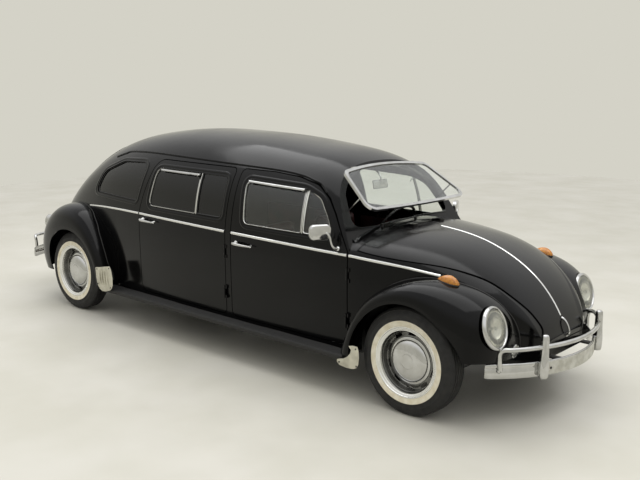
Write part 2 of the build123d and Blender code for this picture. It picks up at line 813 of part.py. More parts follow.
def arm_outline(side):
    """Trailing arm in plan view, from the beam's end back to the kingpin."""
    with BuildSketch() as arm:
        with BuildLine():
            Polyline(
                (side * (beam_half - 32), beam_y - 8), (side * (beam_half + 2), beam_y - 8),
                (side * (beam_half + 2), beam_y + 50), (side * (kingpin_x - 4), front_y - 24),
                (side * (kingpin_x - 4), front_y + 20), (side * (kingpin_x - 34), front_y + 12),
                (side * (beam_half - 32), beam_y + 62), close=True,
            )
        make_face()
        with Locations((side * kingpin_x, front_y)):
            Circle(pin_radius + 5)
    return arm.sketch


with BuildPart() as front_axle_beam:
    for z in (beam_low_z, beam_high_z):
        add(across(beam_y, z, beam_radius, -beam_half, beam_half))
    for x in (-140, 140):
        add(block((x - 10, x + 10), (beam_y - 20, beam_y + 20), (beam_low_z, beam_high_z)))
    add(block((-frame_head_half, frame_head_half), (beam_y, beam_y + beam_radius),
              (floor_top - pan_thickness, floor_top)))
    for side in (1, -1):
        for z in (beam_low_z, beam_high_z):
            with BuildSketch(Plane.XY.offset(z - arm_thickness / 2)):
                add(arm_outline(side))
            extrude(amount=arm_thickness)

knuckle_low = beam_low_z + arm_thickness / 2 + running_gap
knuckle_high = beam_high_z - arm_thickness / 2 - running_gap


def knuckle(side):
    """Steering knuckle: kingpin block between the two arms, with the stub axle."""
    with BuildPart() as piece:
        with BuildSketch(Plane.XY.offset(knuckle_low)):
            with Locations((side * kingpin_x, front_y)):
                Circle(pin_radius)
        extrude(amount=knuckle_high - knuckle_low)
        add(across(front_y, axle_z, 26, side * kingpin_x, side * (kingpin_x + 22)))
        add(across(front_y, axle_z, stub_radius, side * kingpin_x, side * (front_track / 2 + 24)))
    return piece.part


# ---------------------------------------------------------------- wheels
rim_half_width = 59
cap_edge = 112
cap_foot = 38
cap_height = 26
cap_sphere = (cap_edge ** 2 + cap_height ** 2) / (2 * cap_height)


def wheel_rim(side, axle_y, track):
    """Barrel, dished disc, hub, drum and domed cap, turned about the axle; x runs outward."""
    middle = side * track / 2
    plane = Plane(origin=(middle, axle_y, axle_z), x_dir=(side, 0, 0), z_dir=(0, -side, 0))
    bore = stub_radius + running_gap
    with BuildPart() as rim:
        with BuildSketch(plane):
            with BuildLine():
                crown = cap_foot + cap_height
                Polyline((crown, 0), (26, 0), (26, bore), (-38, bore), (-38, 118), (10, 118),
                         (10, rim_radius - 10), (-rim_half_width, rim_radius - 8),
                         (-rim_half_width, rim_radius), (rim_half_width, rim_radius),
                         (rim_half_width, rim_radius - 8), (22, rim_radius - 10), (22, 128),
                         (cap_foot, cap_edge))
                half_way = crown - cap_sphere + (cap_sphere ** 2 - cap_edge ** 2 / 4) ** 0.5
                ThreePointArc((cap_foot, cap_edge), (half_way, cap_edge / 2), (crown, 0))
            make_face()
        revolve(axis=Axis((0, axle_y, axle_z), (1, 0, 0)))
    return rim.part


def wheel_tyre(side, axle_y, track):
    """Cross-ply tyre with rounded shoulders."""
    middle = side * track / 2
    half = tyre_width / 2
    bead = rim_radius + glass_gap
    plane = Plane(origin=(middle, axle_y, axle_z), x_dir=(side, 0, 0), z_dir=(0, -side, 0))
    with BuildPart() as tyre:
        with BuildSketch(plane):
            with BuildLine():
                Line((-half + 16, bead), (half - 16, bead))
                Bezier((half - 16, bead), (half + 4, bead + 30), (half + 6, tyre_radius - 50),
                       (half - 14, tyre_radius - 14))
                Bezier((half - 14, tyre_radius - 14), (half - 22, tyre_radius - 2),
                       (half - 34, tyre_radius), (0, tyre_radius))
                Bezier((0, tyre_radius), (-half + 34, tyre_radius), (-half + 22, tyre_radius - 2),
                       (-half + 14, tyre_radius - 14))
                Bezier((-half + 14, tyre_radius - 14), (-half - 6, tyre_radius - 50),
                       (-half - 4, bead + 30), (-half + 16, bead))
            make_face()
        revolve(axis=Axis((0, axle_y, axle_z), (1, 0, 0)))
    return tyre.part


# ---------------------------------------------------------------- rear running gear
tube_radius = 36
engine_front = rear_y + 90
engine_rear = rear_y + 540
engine_half = 250
muffler_radius = 52
with BuildPart() as gearbox:
    add(block((-gearbox_half, gearbox_half), (gearbox_front, engine_front), (200, 400)))
    fillet(gearbox.edges().filter_by(Axis.Y), 40)
with BuildPart() as engine_block:
    add(block((-engine_half, engine_half), (engine_front, engine_rear - 120), (205, 330)))
    add(block((-130, 130), (engine_front, engine_rear), (205, 400)))
    add(block((-engine_half + 40, engine_half - 40), (engine_front + 150, engine_rear - 60), (400, 640)))
    fillet(engine_block.edges().group_by(Axis.Z)[-1], 30)
with BuildPart() as rear_axle:
    for side in (1, -1):
        add(across(rear_y, axle_z, tube_radius, side * gearbox_half, side * (rear_track / 2 - 46)))
        add(across(rear_y, axle_z, stub_radius, side * gearbox_half, side * (rear_track / 2 + 24)))
muffler_y = engine_rear + muffler_radius
with BuildPart() as exhaust:
    add(across(muffler_y, 268, muffler_radius, -270, 270))
    for x in (-150, 150):
        with BuildSketch(Plane.XZ.offset(-muffler_y)):
            with Locations((x, 262)):
                Circle(18)
        extrude(amount=-(rear_overhang - 180 - (muffler_y - rear_y) + 60))

# ---------------------------------------------------------------- bumpers
blade_thickness = 14
front_blade_z = (296, 382)
rear_blade_z = (302, 388)
blade_half = 606
front_bow = 265
rear_bow = 165
overrider_x = 352
overrider_half = 27
overrider_rise = 160
blade_back = 24
overrider_back = -22
overrider_depth = 58
rail_rise = 88
rail_half = 540
rail_back = 13
rail_bend = 40
rail_foot_x = 552
rail_flatness = 0.69
rail_radius = 13


def bow_y(x, bow, half=600):
    """How far a bumper arc of the given bow has swept back at x."""
    radius = (half ** 2 + bow ** 2) / (2 * bow)
    return radius - (radius ** 2 - x ** 2) ** 0.5


def bumper(ahead, face_y, bow, z_range, brackets):
    """Blade on an arc, two overriders and the tube rail above; ahead is -1 at the nose."""
    radius = (600 ** 2 + bow ** 2) / (2 * bow)
    centre_y = face_y - ahead * radius
    rail_z = z_range[1] + rail_rise
    rail_end_y = face_y - ahead * (rail_back + bow * rail_flatness)
    overrider_high = z_range[1] + overrider_rise

    def at(x, back):
        return face_y - ahead * (bow_y(x, bow) + back)

    with BuildPart() as piece:
        with BuildSketch(Plane.XY.offset(z_range[0])):
            with Locations((0, centre_y)):
                Circle(radius - blade_back)
                Circle(radius - blade_back - blade_thickness, mode=Mode.SUBTRACT)
            with Locations((0, face_y)):
                Rectangle(2 * blade_half, 2 * (bow_y(blade_half, bow) + 90), mode=Mode.INTERSECT)
        extrude(amount=z_range[1] - z_range[0])
        for x in (-overrider_x, overrider_x):
            with BuildSketch(Plane.YZ.offset(x - overrider_half)):
                with BuildLine():
                    Polyline(
                        (at(x, 2), z_range[0] - 6), (at(x, overrider_back), z_range[0] + 20),
                        (at(x, overrider_back), overrider_high - 40),
                        (at(x, overrider_back + 24), overrider_high),
                        (at(x, overrider_back + overrider_depth - 8), overrider_high - 10),
                        (at(x, overrider_back + overrider_depth), overrider_high - 90),
                        (at(x, overrider_back + overrider_depth), z_range[0] - 6), close=True,
                    )
                make_face()
            extrude(amount=2 * overrider_half)
        with BuildLine() as rail:
            middle = ThreePointArc(
                (-rail_half, rail_end_y, rail_z),
                (0, at(0, rail_back), rail_z),
                (rail_half, rail_end_y, rail_z),
            )
            for end, sign in ((1, 1), (0, -1)):
                corner = middle @ end + (middle % end) * sign * rail_bend
                foot = (corner.X * rail_foot_x / abs(corner.X), at(rail_foot_x, blade_back + 4),
                        z_range[1] - 40)
                FilletPolyline(middle @ end, corner, foot, radius=0.8 * rail_bend)
        with BuildSketch(Plane(origin=middle @ 0, z_dir=middle % 0)):
            Circle(rail_radius)
        sweep(path=rail.wire())
        for bracket in brackets:
            add(bracket)
    return piece.part


nose_cap_y = front_y - 615
tail_cap_y = rear_y + 720
bracket_x = 200
bracket_half = 18


def bracket_pair(y_range, z_range):
    return [block((x - bracket_half, x + bracket_half), y_range, z_range)
            for x in (-bracket_x, bracket_x)]


blade_inside = blade_back + blade_thickness
front_blade_rear = nose_y + bow_y(bracket_x, front_bow) + blade_inside
rear_blade_front = tail_y - bow_y(bracket_x, rear_bow) - blade_inside
front_bumper = bumper(
    -1, nose_y, front_bow, front_blade_z,
    bracket_pair((front_blade_rear - 6, nose_cap_y), (365, 381)),
)
rear_bumper = bumper(
    1, tail_y, rear_bow, rear_blade_z,
    bracket_pair((tail_cap_y, rear_blade_front + 3), (402, 420))
    + bracket_pair((rear_blade_front - 10, rear_blade_front + 3), (340, 420)),
)

# ---------------------------------------------------------------- opening windscreen
screen_open = 24
screen_top_half = 448
screen_foot_half = 540
screen_height = 356
screen_arch = 40
frame_border = 20
frame_thickness = 16
frame_stand_off = 20
screen_clear = 6


def screen_outline(inset):
    """Windscreen outline, drawn down from the top corners; the top edge is arched."""
    with BuildSketch() as outline:
        with BuildLine():
            top = ThreePointArc(
                (-screen_top_half + inset, -inset), (0, screen_arch - inset),
                (screen_top_half - inset, -inset),
            )
            foot = ThreePointArc(
                (screen_foot_half - inset, -screen_height + inset), (0, -screen_height - 12 + inset),
                (-screen_foot_half + inset, -screen_height + inset),
            )
            Line(top @ 1, foot @ 0)
            Line(foot @ 1, top @ 0)
        make_face()
        fillet(outline.vertices(), 62 - inset / 2)
    return outline.sketch


def screen_plane(opened, stand_off):
    """Plane of the windscreen about its top hinge; the normal points ahead and up."""
    a = screen_lean + radians(screen_open if opened else 0)
    down = (0, -sin(a), -cos(a))
    normal = (0, -cos(a), sin(a))
    hinge = Vector(0, screen_top[0], screen_top[1])
    origin = hinge + Vector(*normal) * stand_off
    return Plane(origin=origin, x_dir=(1, 0, 0), z_dir=normal)


with BuildPart() as windscreen_frame:
    with BuildSketch(screen_plane(True, frame_stand_off)):
        add(screen_outline(0))
        add(screen_outline(frame_border), mode=Mode.SUBTRACT)
    extrude(amount=frame_thickness)
with BuildPart() as windscreen_glass:
    with BuildSketch(screen_plane(True, frame_stand_off + 5)):
        add(screen_outline(frame_border + glass_gap))
    extrude(amount=glass_thickness)
with BuildPart() as surround_block:
    with BuildSketch(screen_plane(False, -frame_border)):
        add(screen_outline(-90))
        add(screen_outline(screen_clear), mode=Mode.SUBTRACT)
    extrude(amount=frame_border)
    add(cabin_outer, mode=Mode.INTERSECT)
    add(roof_panel, mode=Mode.SUBTRACT)
    add(nose_outer, mode=Mode.SUBTRACT)
    add(front_door_hole, mode=Mode.SUBTRACT)
windscreen_surround = surround_block.part

screen_up = Vector(0, sin(screen_lean), cos(screen_lean))
screen_out = Vector(0, -cos(screen_lean), sin(screen_lean))
screen_hinge = Vector(0, screen_top[0], screen_top[1])


stay_down = 232
stay_x = 497
stay_radius = 5
screen_hinge_x = 270
hinge_radius = 14
opened = screen_lean + radians(screen_open)
opened_down = Vector(0, -sin(opened), -cos(opened))
opened_out = Vector(0, -cos(opened), sin(opened))
frame_parts = []
for side in (1, -1):
    wall_end = screen_hinge - screen_up * stay_down + Vector(side * stay_x, 0, 0)
    frame_end = screen_hinge + opened_down * stay_down + opened_out * (frame_stand_off + 2)
    frame_end = frame_end + Vector(side * stay_x, 0, 0)
    frame_parts.append(rod(wall_end, frame_end, stay_radius))
    knuckle_at = screen_hinge + screen_up * 26 + screen_out * (hinge_radius - 1)
    frame_parts.append(
        across(knuckle_at.Y, knuckle_at.Z, hinge_radius, side * screen_hinge_x, side * (screen_hinge_x + 60))
    )
windscreen_frame = combine(
    windscreen_frame.part, add_parts=frame_parts, cut_parts=[windscreen_surround, roof_panel]
)

# ---------------------------------------------------------------- cabin
dash_y = front_y + 505
dash_half = 580
wall_y = front_y + 458
dashboard = combine(
    nose_inner,
    keep=block((-dash_half, dash_half), (dash_y, dash_y + 38), (belt_height - 62, high)),
)
front_wall = combine(
    nose_inner,
    cut_parts=[front_wells_lining],
    keep=block((-wide, wide), (wall_y, wall_y + wall_plate), (floor_top, belt_height + 40)),
)
rear_wall = combine(
    cabin_inner,
    cut_parts=[rear_wells_lining, block((-gearbox_half - 10, gearbox_half + 10), (0, tail_y), (0, 412))],
    keep=block((-wide, wide), (rear_wall_y, rear_wall_y + wall_plate), (floor_top, belt_height + 60)),
)

wheel_hub = Vector(338, front_y + 880, 850)
column_foot = Vector(338, wall_y + wall_plate, 590)
steering_ring = 198
column_run = (column_foot - wheel_hub).normalized()
with BuildPart() as steering_wheel:
    add(rod(wheel_hub, column_foot + column_run * 12, 20))
    add(front_wall, mode=Mode.SUBTRACT)
    with Locations(Plane(origin=wheel_hub, z_dir=column_run)):
        Torus(steering_ring, 11)
    for side in (1, -1):
        add(rod(wheel_hub, wheel_hub + Vector(side * (steering_ring - 4), 0, 0), 8))
    add(rod(wheel_hub - column_run * 24, wheel_hub + column_run * 10, 42))

seat_inner = 112
seat_outer = 566
seat_front = front_y + 900
seat_base_top = floor_top + 80
rear_seat_half = 516
rear_seat_front = rear_y - 930


def seat_profile(y, z, depth, height, back):
    """Cushion and leaning backrest in side view."""
    return side_polygon(
        [(y, z), (y - 6, z + 125), (y + depth - 100, z + 105), (y + depth - 20, z + height),
         (y + depth + back, z + height), (y + depth + back - 90, z + 60), (y + depth - 60, z)],
        [24, 45, 40, 40, 40, 60, 24],
    )


front_seat_shape = seat_profile(seat_front, seat_base_top, 500, 600, 90)
rear_seat_shape = seat_profile(rear_seat_front, seat_base_top, 520, 560, 86)
with BuildPart() as front_seats:
    add(slab(front_seat_shape, seat_inner, seat_outer))
    add(slab(front_seat_shape, -seat_outer, -seat_inner))
with BuildPart() as rear_seat:
    add(slab(rear_seat_shape, -rear_seat_half, rear_seat_half))
    add(block((-gearbox_half - 14, gearbox_half + 14), (rear_seat_front - 10, rear_y),
              (floor_top, 404)), mode=Mode.SUBTRACT)
with BuildPart() as seat_frames:
    for near in (seat_inner + 30, -seat_outer + 30):
        add(block((near, near + seat_outer - seat_inner - 60), (seat_front + 30, seat_front + 400),
                  (floor_top, seat_base_top)))
    for near in (tunnel_half_width + 12, -rear_seat_half + 12):
        add(block((near, near + rear_seat_half - tunnel_half_width - 24),
                  (rear_seat_front + 30, gearbox_front - 30), (floor_top, seat_base_top)))

# ---------------------------------------------------------------- wipers, handles and mirrors
wiper_pivots = (-300, 60)
wiper_reach = 300


with BuildPart() as wipers:
    for x in wiper_pivots:
        y = front_y + 505
        z = on_cowl(x, y)
        reach_z = on_cowl(x + wiper_reach, y)
        add(rod((x, y, z - 8), (x, y, z + 20), 9))
        add(rod((x, y, z + 16), (x + wiper_reach * 0.6, y - 14, (z + reach_z) / 2 + 24), 4))
        add(rod((x + 60, y - 14, z + 20), (x + wiper_reach + 40, y - 14, (z + reach_z) / 2 + 22), 5))
    add(nose_outer, mode=Mode.SUBTRACT)

handle_length = 190
handle_inset = 34
front_handle_z = belt_height - 60
rear_handle_z = belt_height - 24
handle_stand = 26
mirror_centre = (-742, front_y + 640, belt_height + 137)
mirror_turn = radians(25)
mirror_back = (-sin(mirror_turn), -cos(mirror_turn), 0)
mirror_across = (cos(mirror_turn), -sin(mirror_turn), 0)


def door_handle(rear_edge, handle_z):
    """Bar handle on two posts near a door's rear edge."""
    skin = body_half_width - 4
    x = -skin - handle_stand
    with BuildPart() as handle:
        near = rear_edge - handle_inset - handle_length
        far = rear_edge - handle_inset
        add(rod((x, near, handle_z), (x, far, handle_z), 9))
        for y in (near + 14, far - 14):
            add(rod((x, y, handle_z), (-skin + 30, y, handle_z), 8))
        add(cabin_outer, mode=Mode.SUBTRACT)
    return handle.part.solids().sort_by(SortBy.VOLUME)[-1]


with BuildPart() as mirror_block:
    with BuildSketch(Plane(origin=mirror_centre, x_dir=mirror_across, z_dir=mirror_back)):
        RectangleRounded(140, 96, 34)
    extrude(amount=24)
    fillet(mirror_block.edges().group_by(Axis((0, 0, 0), mirror_back))[-1], 9)
    elbow = (mirror_centre[0] + 34, mirror_centre[1] - 30, mirror_centre[2] - 92)
    foot = (-body_half_width + 52, front_y + 566, belt_height + 22)
    add(rod((mirror_centre[0] + 10, mirror_centre[1] - 12, mirror_centre[2] - 20), elbow, 7))
    add(rod(elbow, foot, 7))
    with Locations(elbow):
        Sphere(7)
    add(cabin_outer, mode=Mode.SUBTRACT)
mirror_right = mirror_block.part.solids().sort_by(SortBy.VOLUME)[-1]
fittings_front_right = combine(door_handle(front_door_rear, front_handle_z), add_parts=[mirror_right])
fittings_rear_right = door_handle(rear_door_rear, rear_handle_z)

# ---------------------------------------------------------------- output
pairs = {
    "side_frames": side_frame_right,
    "front_wings": front_wing_right,
    "rear_wings": rear_wing_right,
    "running_boards": running_board_right,
    "headlamps": headlamp_right.part,
    "headlamp_glass": headlamp_glass_right.part,
    "turn_signals": turn_signal_right,
    "tail_lamps": tail_lamp_right,
    "quarter_glass": glass_quarter_right,
}
singles = {
    "floor_pan": floor_pan.part,
    "roof_panel": roof_panel,
    "cowl_panel": cowl_panel,
    "front_body": front_body,
    "rear_body": rear_body,
    "bonnet": bonnet,
    "engine_lid": engine_lid,
    "back_glass": back_glass,
    "front_bumper": front_bumper,
    "rear_bumper": rear_bumper,
    "windscreen_surround": windscreen_surround,
    "windscreen_frame": windscreen_frame,
    "windscreen_glass": windscreen_glass.part,
    "front_axle_beam": front_axle_beam.part,
    "rear_axle": rear_axle.part,
    "gearbox": gearbox.part,
    "engine_block": engine_block.part,
    "exhaust": exhaust.part,
    "dashboard": dashboard,
    "steering_wheel": steering_wheel.part.solids().sort_by(SortBy.VOLUME)[-1],
    "front_seats": front_seats.part,
    "rear_seat": rear_seat.part,
    "seat_frames": seat_frames.part,
    "wipers": wipers.part,
}
handed = {
    "door_front": door_front_right,
    "door_rear": door_rear_right,
    "door_glass_front": glass_front_right,
    "door_glass_rear": glass_rear_right,
    "door_fittings_front": fittings_front_right,
    "door_fittings_rear": fittings_rear_right,
}
for name, shape in singles.items():
    write(name, shape)
for name, shape in pairs.items():
    write(name, Compound(children=[Solid(s.wrapped) for s in (*shape.solids(), *mirrored(shape).solids())]))
write("bulkheads", Compound(children=[*front_wall.solids(), *rear_wall.solids()]))
for name, shape in handed.items():
    write(f"{name}_right", shape)
    write(f"{name}_left", mirrored(shape))
for name, side in (("left", 1), ("right", -1)):
    write(f"knuckle_{name}", knuckle(side))
    write(f"rim_front_{name}", wheel_rim(side, front_y, front_track))
    write(f"tyre_front_{name}", wheel_tyre(side, front_y, front_track))
    write(f"rim_rear_{name}", wheel_rim(side, rear_y, rear_track))
    write(f"tyre_rear_{name}", wheel_tyre(side, rear_y, rear_track))
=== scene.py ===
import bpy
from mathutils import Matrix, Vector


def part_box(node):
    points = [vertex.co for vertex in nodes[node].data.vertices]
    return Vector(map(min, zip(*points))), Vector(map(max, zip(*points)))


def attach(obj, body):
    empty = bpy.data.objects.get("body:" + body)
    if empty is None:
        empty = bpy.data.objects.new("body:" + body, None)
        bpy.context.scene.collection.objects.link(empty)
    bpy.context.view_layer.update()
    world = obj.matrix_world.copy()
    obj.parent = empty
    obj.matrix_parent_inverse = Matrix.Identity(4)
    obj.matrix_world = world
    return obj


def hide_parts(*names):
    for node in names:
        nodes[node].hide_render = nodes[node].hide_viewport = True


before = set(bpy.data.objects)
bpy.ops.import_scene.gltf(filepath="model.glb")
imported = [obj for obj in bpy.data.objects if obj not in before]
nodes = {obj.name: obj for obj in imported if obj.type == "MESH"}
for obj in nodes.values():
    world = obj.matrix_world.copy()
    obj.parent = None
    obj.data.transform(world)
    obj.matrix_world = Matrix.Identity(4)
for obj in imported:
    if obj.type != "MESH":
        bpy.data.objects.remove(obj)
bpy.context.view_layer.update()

import math

import bmesh
import bpy
from mathutils import Matrix, Vector
from mathutils.bvhtree import BVHTree

# The nose points along -Y, up is +Z and the car's left side is +X.
# Sizes in this file are millimetres, measured from the front axle on the ground.
MM = 0.001
scene = bpy.context.scene


def middle(node_name):
    """The centre of a CAD node's box, in metres."""
    low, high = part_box(node_name)
    return (low + high) / 2


FRONT_AXLE = middle("tyre_front_left").y
REAR_AXLE = middle("tyre_rear_left").y
WHEELBASE = (REAR_AXLE - FRONT_AXLE) / MM
# How far out and how far back rays start, clear of the car.
OUTSIDE = 1000
BEHIND = WHEELBASE + 1500
SIDES = ((1, "left"), (-1, "right"))


def at(x, y, z):
    """A place on the car, in metres."""
    return Vector((x * MM, FRONT_AXLE + y * MM, z * MM))


# ---- finishes
def linear(hex_colour):
    """An sRGB hex colour as linear RGBA."""
    parts = [int(hex_colour[i:i + 2], 16) / 255 for i in (0, 2, 4)]
    return (*[c / 12.92 if c <= 0.04045 else ((c + 0.055) / 1.055) ** 2.4 for c in parts], 1.0)


def node(tree, kind, sockets=None, **settings):
    """A node with its settings, and its sockets set to values or linked."""
    made = tree.nodes.new(kind)
    for name, value in settings.items():
        setattr(made, name, value)
    for socket, value in (sockets or {}).items():
        if isinstance(value, bpy.types.NodeSocket):
            tree.links.new(value, made.inputs[socket])
        else:
            made.inputs[socket].default_value = value
    return made


def per_mm(size):
    """The texture scale at which one feature is that many millimetres."""
    return 1000 / size


def inside(material):
    """A material's tree, its shader and its object coordinates."""
    tree = material.node_tree
    return tree, tree.nodes["Principled BSDF"], node(tree, "ShaderNodeTexCoord").outputs["Object"]


def patches(tree, place, size, low, high):
    """Soft random patches about as large as size, in millimetres, from low to high."""
    noise = node(tree, "ShaderNodeTexNoise", {"Vector": place, "Scale": per_mm(size), "Detail": 3.0})
    return node(tree, "ShaderNodeMapRange",
                {"Value": noise.outputs["Fac"], "From Min": 0.35, "From Max": 0.65,
                 "To Min": low, "To Max": high}).outputs["Result"]


def dress(tree, shader, pattern, colours=None, depth=None):
    """A pattern laid on a shader as two colours, as relief in millimetres, or as both."""
    if colours:
        first, second = colours
        mix = node(tree, "ShaderNodeMix", {0: pattern, 6: linear(first), 7: linear(second)},
                   data_type="RGBA")
        tree.links.new(mix.outputs[2], shader.inputs["Base Color"])
    if depth:
        bump = node(tree, "ShaderNodeBump", {"Height": pattern, "Strength": 1.0, "Distance": depth * MM})
        tree.links.new(bump.outputs["Normal"], shader.inputs["Normal"])


def finish(name, colour, roughness, mottle=None, worn=None, grain=None, **sockets):
    """A new material, in patches and with a grain where they are given.

    mottle is a size, two colours and the most of the second; worn is a size and the least and
    most roughness; grain is a size, a depth and a detail. Sizes and depths are millimetres."""
    made = bpy.data.materials.new(name)
    made.use_nodes = True
    tree, shader, place = inside(made)
    shader.inputs["Base Color"].default_value = linear(colour)
    shader.inputs["Roughness"].default_value = roughness
    for socket, value in sockets.items():
        shader.inputs[socket.replace("_", " ")].default_value = value
    if mottle:
        size, first, second, most = mottle
        dress(tree, shader, patches(tree, place, size, 0.0, most), (first, second))
    if worn:
        tree.links.new(patches(tree, place, *worn), shader.inputs["Roughness"])
    if grain:
        size, depth, detail = grain
        noise = node(tree, "ShaderNodeTexNoise",
                     {"Vector": place, "Scale": per_mm(size), "Detail": detail})
        dress(tree, shader, noise.outputs["Fac"], depth=depth)
    return made


# Cellulose enamel: sprayed and polished black, with a film of dust in patches.
enamel = finish("black_cellulose_enamel", "080809", 0.13, (420, "070708", "0C0C0B", 0.5), (300, 0.1, 0.19),
                Specular_IOR_Level=0.38, Specular_Tint=linear("B4B4B4"))
# Chrome plate on pressed steel: bright, a little hazed in patches.
chrome = finish("chrome_plate", "C6C6C5", 0.09, (90, "CBCBCA", "B8B8B5", 1.0), (60, 0.05, 0.13),
                Metallic=1.0)
# Bright-dipped aluminium: paler and softer than chrome.
trim_metal = finish("bright_aluminium_trim", "E4E4E1", 0.17, worn=(60, 0.13, 0.2), Metallic=1.0)
# Raw sheet aluminium: dull and pale, scuffed by road grit.
guard_metal = finish("sheet_aluminium", "CFCBB8", 0.42, (60, "D2CFC0", "BAB7A8", 1.0), (30, 0.36, 0.5),
                     Metallic=0.75)
# Laminated glass: clear, with the least green in its thickness.
clear_glass = finish("laminated_glass", "F4F8F5", 0.0, worn=(200, 0.0, 0.03), Transmission_Weight=1.0,
                     IOR=1.45, Specular_IOR_Level=0.1)
# Smoked safety glass: nearly black from outside.
smoked_glass = finish("smoked_safety_glass", "101212", 0.0, worn=(200, 0.02, 0.06), Transmission_Weight=0.85,
                      IOR=1.45, Specular_IOR_Level=0.2)
# Pressed lamp glass: thick and faintly yellow.
lamp_glass = finish("pressed_lamp_glass", "E4E6E0", 0.06, worn=(30, 0.03, 0.12), Transmission_Weight=0.82,
                    IOR=1.5)
# Amber acrylic: moulded, deep orange, a little cloudy.
amber = finish("amber_acrylic", "C87E18", 0.24, (14, "D0891F", "A8640C", 1.0), Transmission_Weight=0.1,
               IOR=1.49, Coat_Weight=0.5, Coat_Roughness=0.1)
# Red acrylic: the moulded tail lamp lens.
ruby = finish("red_acrylic", "7E0B0B", 0.16, (12, "8C0E0D", "650606", 1.0), Transmission_Weight=0.2,
              IOR=1.49, Coat_Weight=0.5, Coat_Roughness=0.08)
# Silvered steel inside a lamp.
silvered = finish("silvered_reflector", "D9D7CC", 0.16, worn=(20, 0.1, 0.22), Metallic=1.0)
# Extruded rubber: matt black with a grey bloom.
rubber = finish("extruded_rubber", "17171A", 0.62, (40, "101010", "1A1918", 1.0), grain=(1.6, 0.04, 1.0))
# Tyre rubber: with a brown-grey dust film and a grain.
tyre_rubber = finish("tyre_rubber", "1A1A1A", 0.7, (60, "0E0E0F", "181715", 1.0), (40, 0.6, 0.75),
                     (2.4, 0.05, 2.0))
# White sidewall rubber: aged to cream, with scuffs.
whitewall = finish("cream_sidewall_rubber", "E3DCC6", 0.6, (45, "E8E2CF", "D8CFB6", 1.0), (40, 0.5, 0.65))
# Wheel enamel: silver grey stove enamel, glossy enough to mirror the hub cap.
wheel_enamel = finish("silver_grey_stove_enamel", "6E6E6A", 0.2, (60, "737370", "5F5F5B", 1.0),
                      (50, 0.16, 0.26), Metallic=0.7, Coat_Weight=0.4, Coat_Roughness=0.06)
# Satin chassis paint: black, dusty from the road.
chassis_paint = finish("satin_chassis_paint", "1C1B1A", 0.5, (70, "191918", "2B2926", 1.0), (30, 0.42, 0.65),
                       (5, 0.1, 3.0))
# Satin black metal, as on the wiper arms.
satin_black = finish("satin_black_metal", "1E1E1E", 0.36, worn=(14, 0.3, 0.45), Metallic=0.3)
# Cast aluminium: sand grain of the mould, oiled grey.
cast_alloy = finish("cast_aluminium", "8C8A84", 0.5, (30, "96948E", "6B6861", 1.0), grain=(2.2, 0.2, 3.0),
                    Metallic=0.9)
# Exhaust steel: heat-browned and dull.
exhaust_steel = finish("heat_browned_steel", "6A645C", 0.48, (35, "77716A", "4C4036", 1.0), (12, 0.38, 0.62),
                       Metallic=0.85)
# Steering wheel plastic: moulded black, hand-polished.
wheel_plastic = finish("moulded_phenolic", "161616", 0.25, worn=(30, 0.18, 0.36), Coat_Weight=0.3)
# Ivory plastic of knobs and dial marks.
ivory = finish("ivory_plastic", "D9D2B4", 0.34, (30, "DED7BB", "C8BF9E", 1.0))
# Instrument face: black enamel dial.
dial_face = finish("dial_enamel", "121212", 0.4, worn=(10, 0.35, 0.5))
# Blank plate: painted aluminium, off-white, a little chalky.
plate_paint = finish("painted_plate", "C9C8BE", 0.5, (45, "CFCEC5", "B3B1A5", 1.0), (20, 0.42, 0.62))

# Dyed hide: dark maroon, fine pebble grain about 2 mm, drawn at 3.2 mm so that it shows.
leather = finish("maroon_hide", "3A1416", 0.46, (90, "421719", "2B0E10", 1.0), (40, 0.38, 0.55))
tree, shader, place = inside(leather)
pebbles = node(tree, "ShaderNodeTexVoronoi", {"Vector": place, "Scale": per_mm(3.2)},
               feature="DISTANCE_TO_EDGE").outputs["Distance"]
pebbles = node(tree, "ShaderNodeMapRange", {"Value": pebbles, "From Max": 0.25}).outputs["Result"]
dress(tree, shader, pebbles, depth=0.25)

# Loop carpet: charcoal, about 5 mm loops.
carpet = finish("loop_carpet", "2A2927", 0.95)
tree, shader, place = inside(carpet)
loops = node(tree, "ShaderNodeTexVoronoi", {"Vector": place, "Scale": per_mm(5)}).outputs["Distance"]
dress(tree, shader, loops, ("35332F", "1C1B1A"), 0.9)

# Headlining: woven grey-beige cloth, drawn with threads and gaps of about 3 mm.
# The wave pattern has about 6.3 of them to its unit.
headlining = finish("woven_headlining", "45423B", 0.9)
tree, shader, place = inside(headlining)
weave = node(tree, "ShaderNodeTexWave",
             {"Vector": place, "Scale": per_mm(3) / 6.3, "Distortion": 0.4}).outputs["Fac"]
dress(tree, shader, weave, ("66625A", "4E4B43"), 0.2)

slot_finish = {
    "body_paint": enamel, "chrome": chrome, "glass": clear_glass, "amber_lens": amber,
    "red_lens": ruby, "board_rubber": rubber, "wiper_metal": satin_black,
    "chassis_paint": chassis_paint, "cast_alloy": cast_alloy, "exhaust_steel": exhaust_steel,
    "seat_leather": leather, "wheel_plastic": wheel_plastic, "wheel_paint": wheel_enamel,
    "tyre_rubber": tyre_rubber,
}
# Each CAD node's material, named for its slot, is swapped for that slot's finish.
for cad in nodes.values():
    for place_in_list, old in enumerate(cad.data.materials):
        cad.data.materials[place_in_list] = slot_finish[old.name.split(".")[0]]
for glass_name in ("door_glass_rear_left", "door_glass_rear_right", "quarter_glass", "back_glass"):
    nodes[glass_name].data.materials[0] = smoked_glass


# ---- modelling by hand
def rest_all():
    """Out of edit mode, nothing selected."""
    if bpy.context.mode != "OBJECT":
        bpy.ops.object.mode_set(mode="OBJECT")
    bpy.ops.object.select_all(action="DESELECT")


def take(piece):
    """One piece selected and active."""
    rest_all()
    piece.select_set(True)
    bpy.context.view_layer.objects.active = piece
    return piece


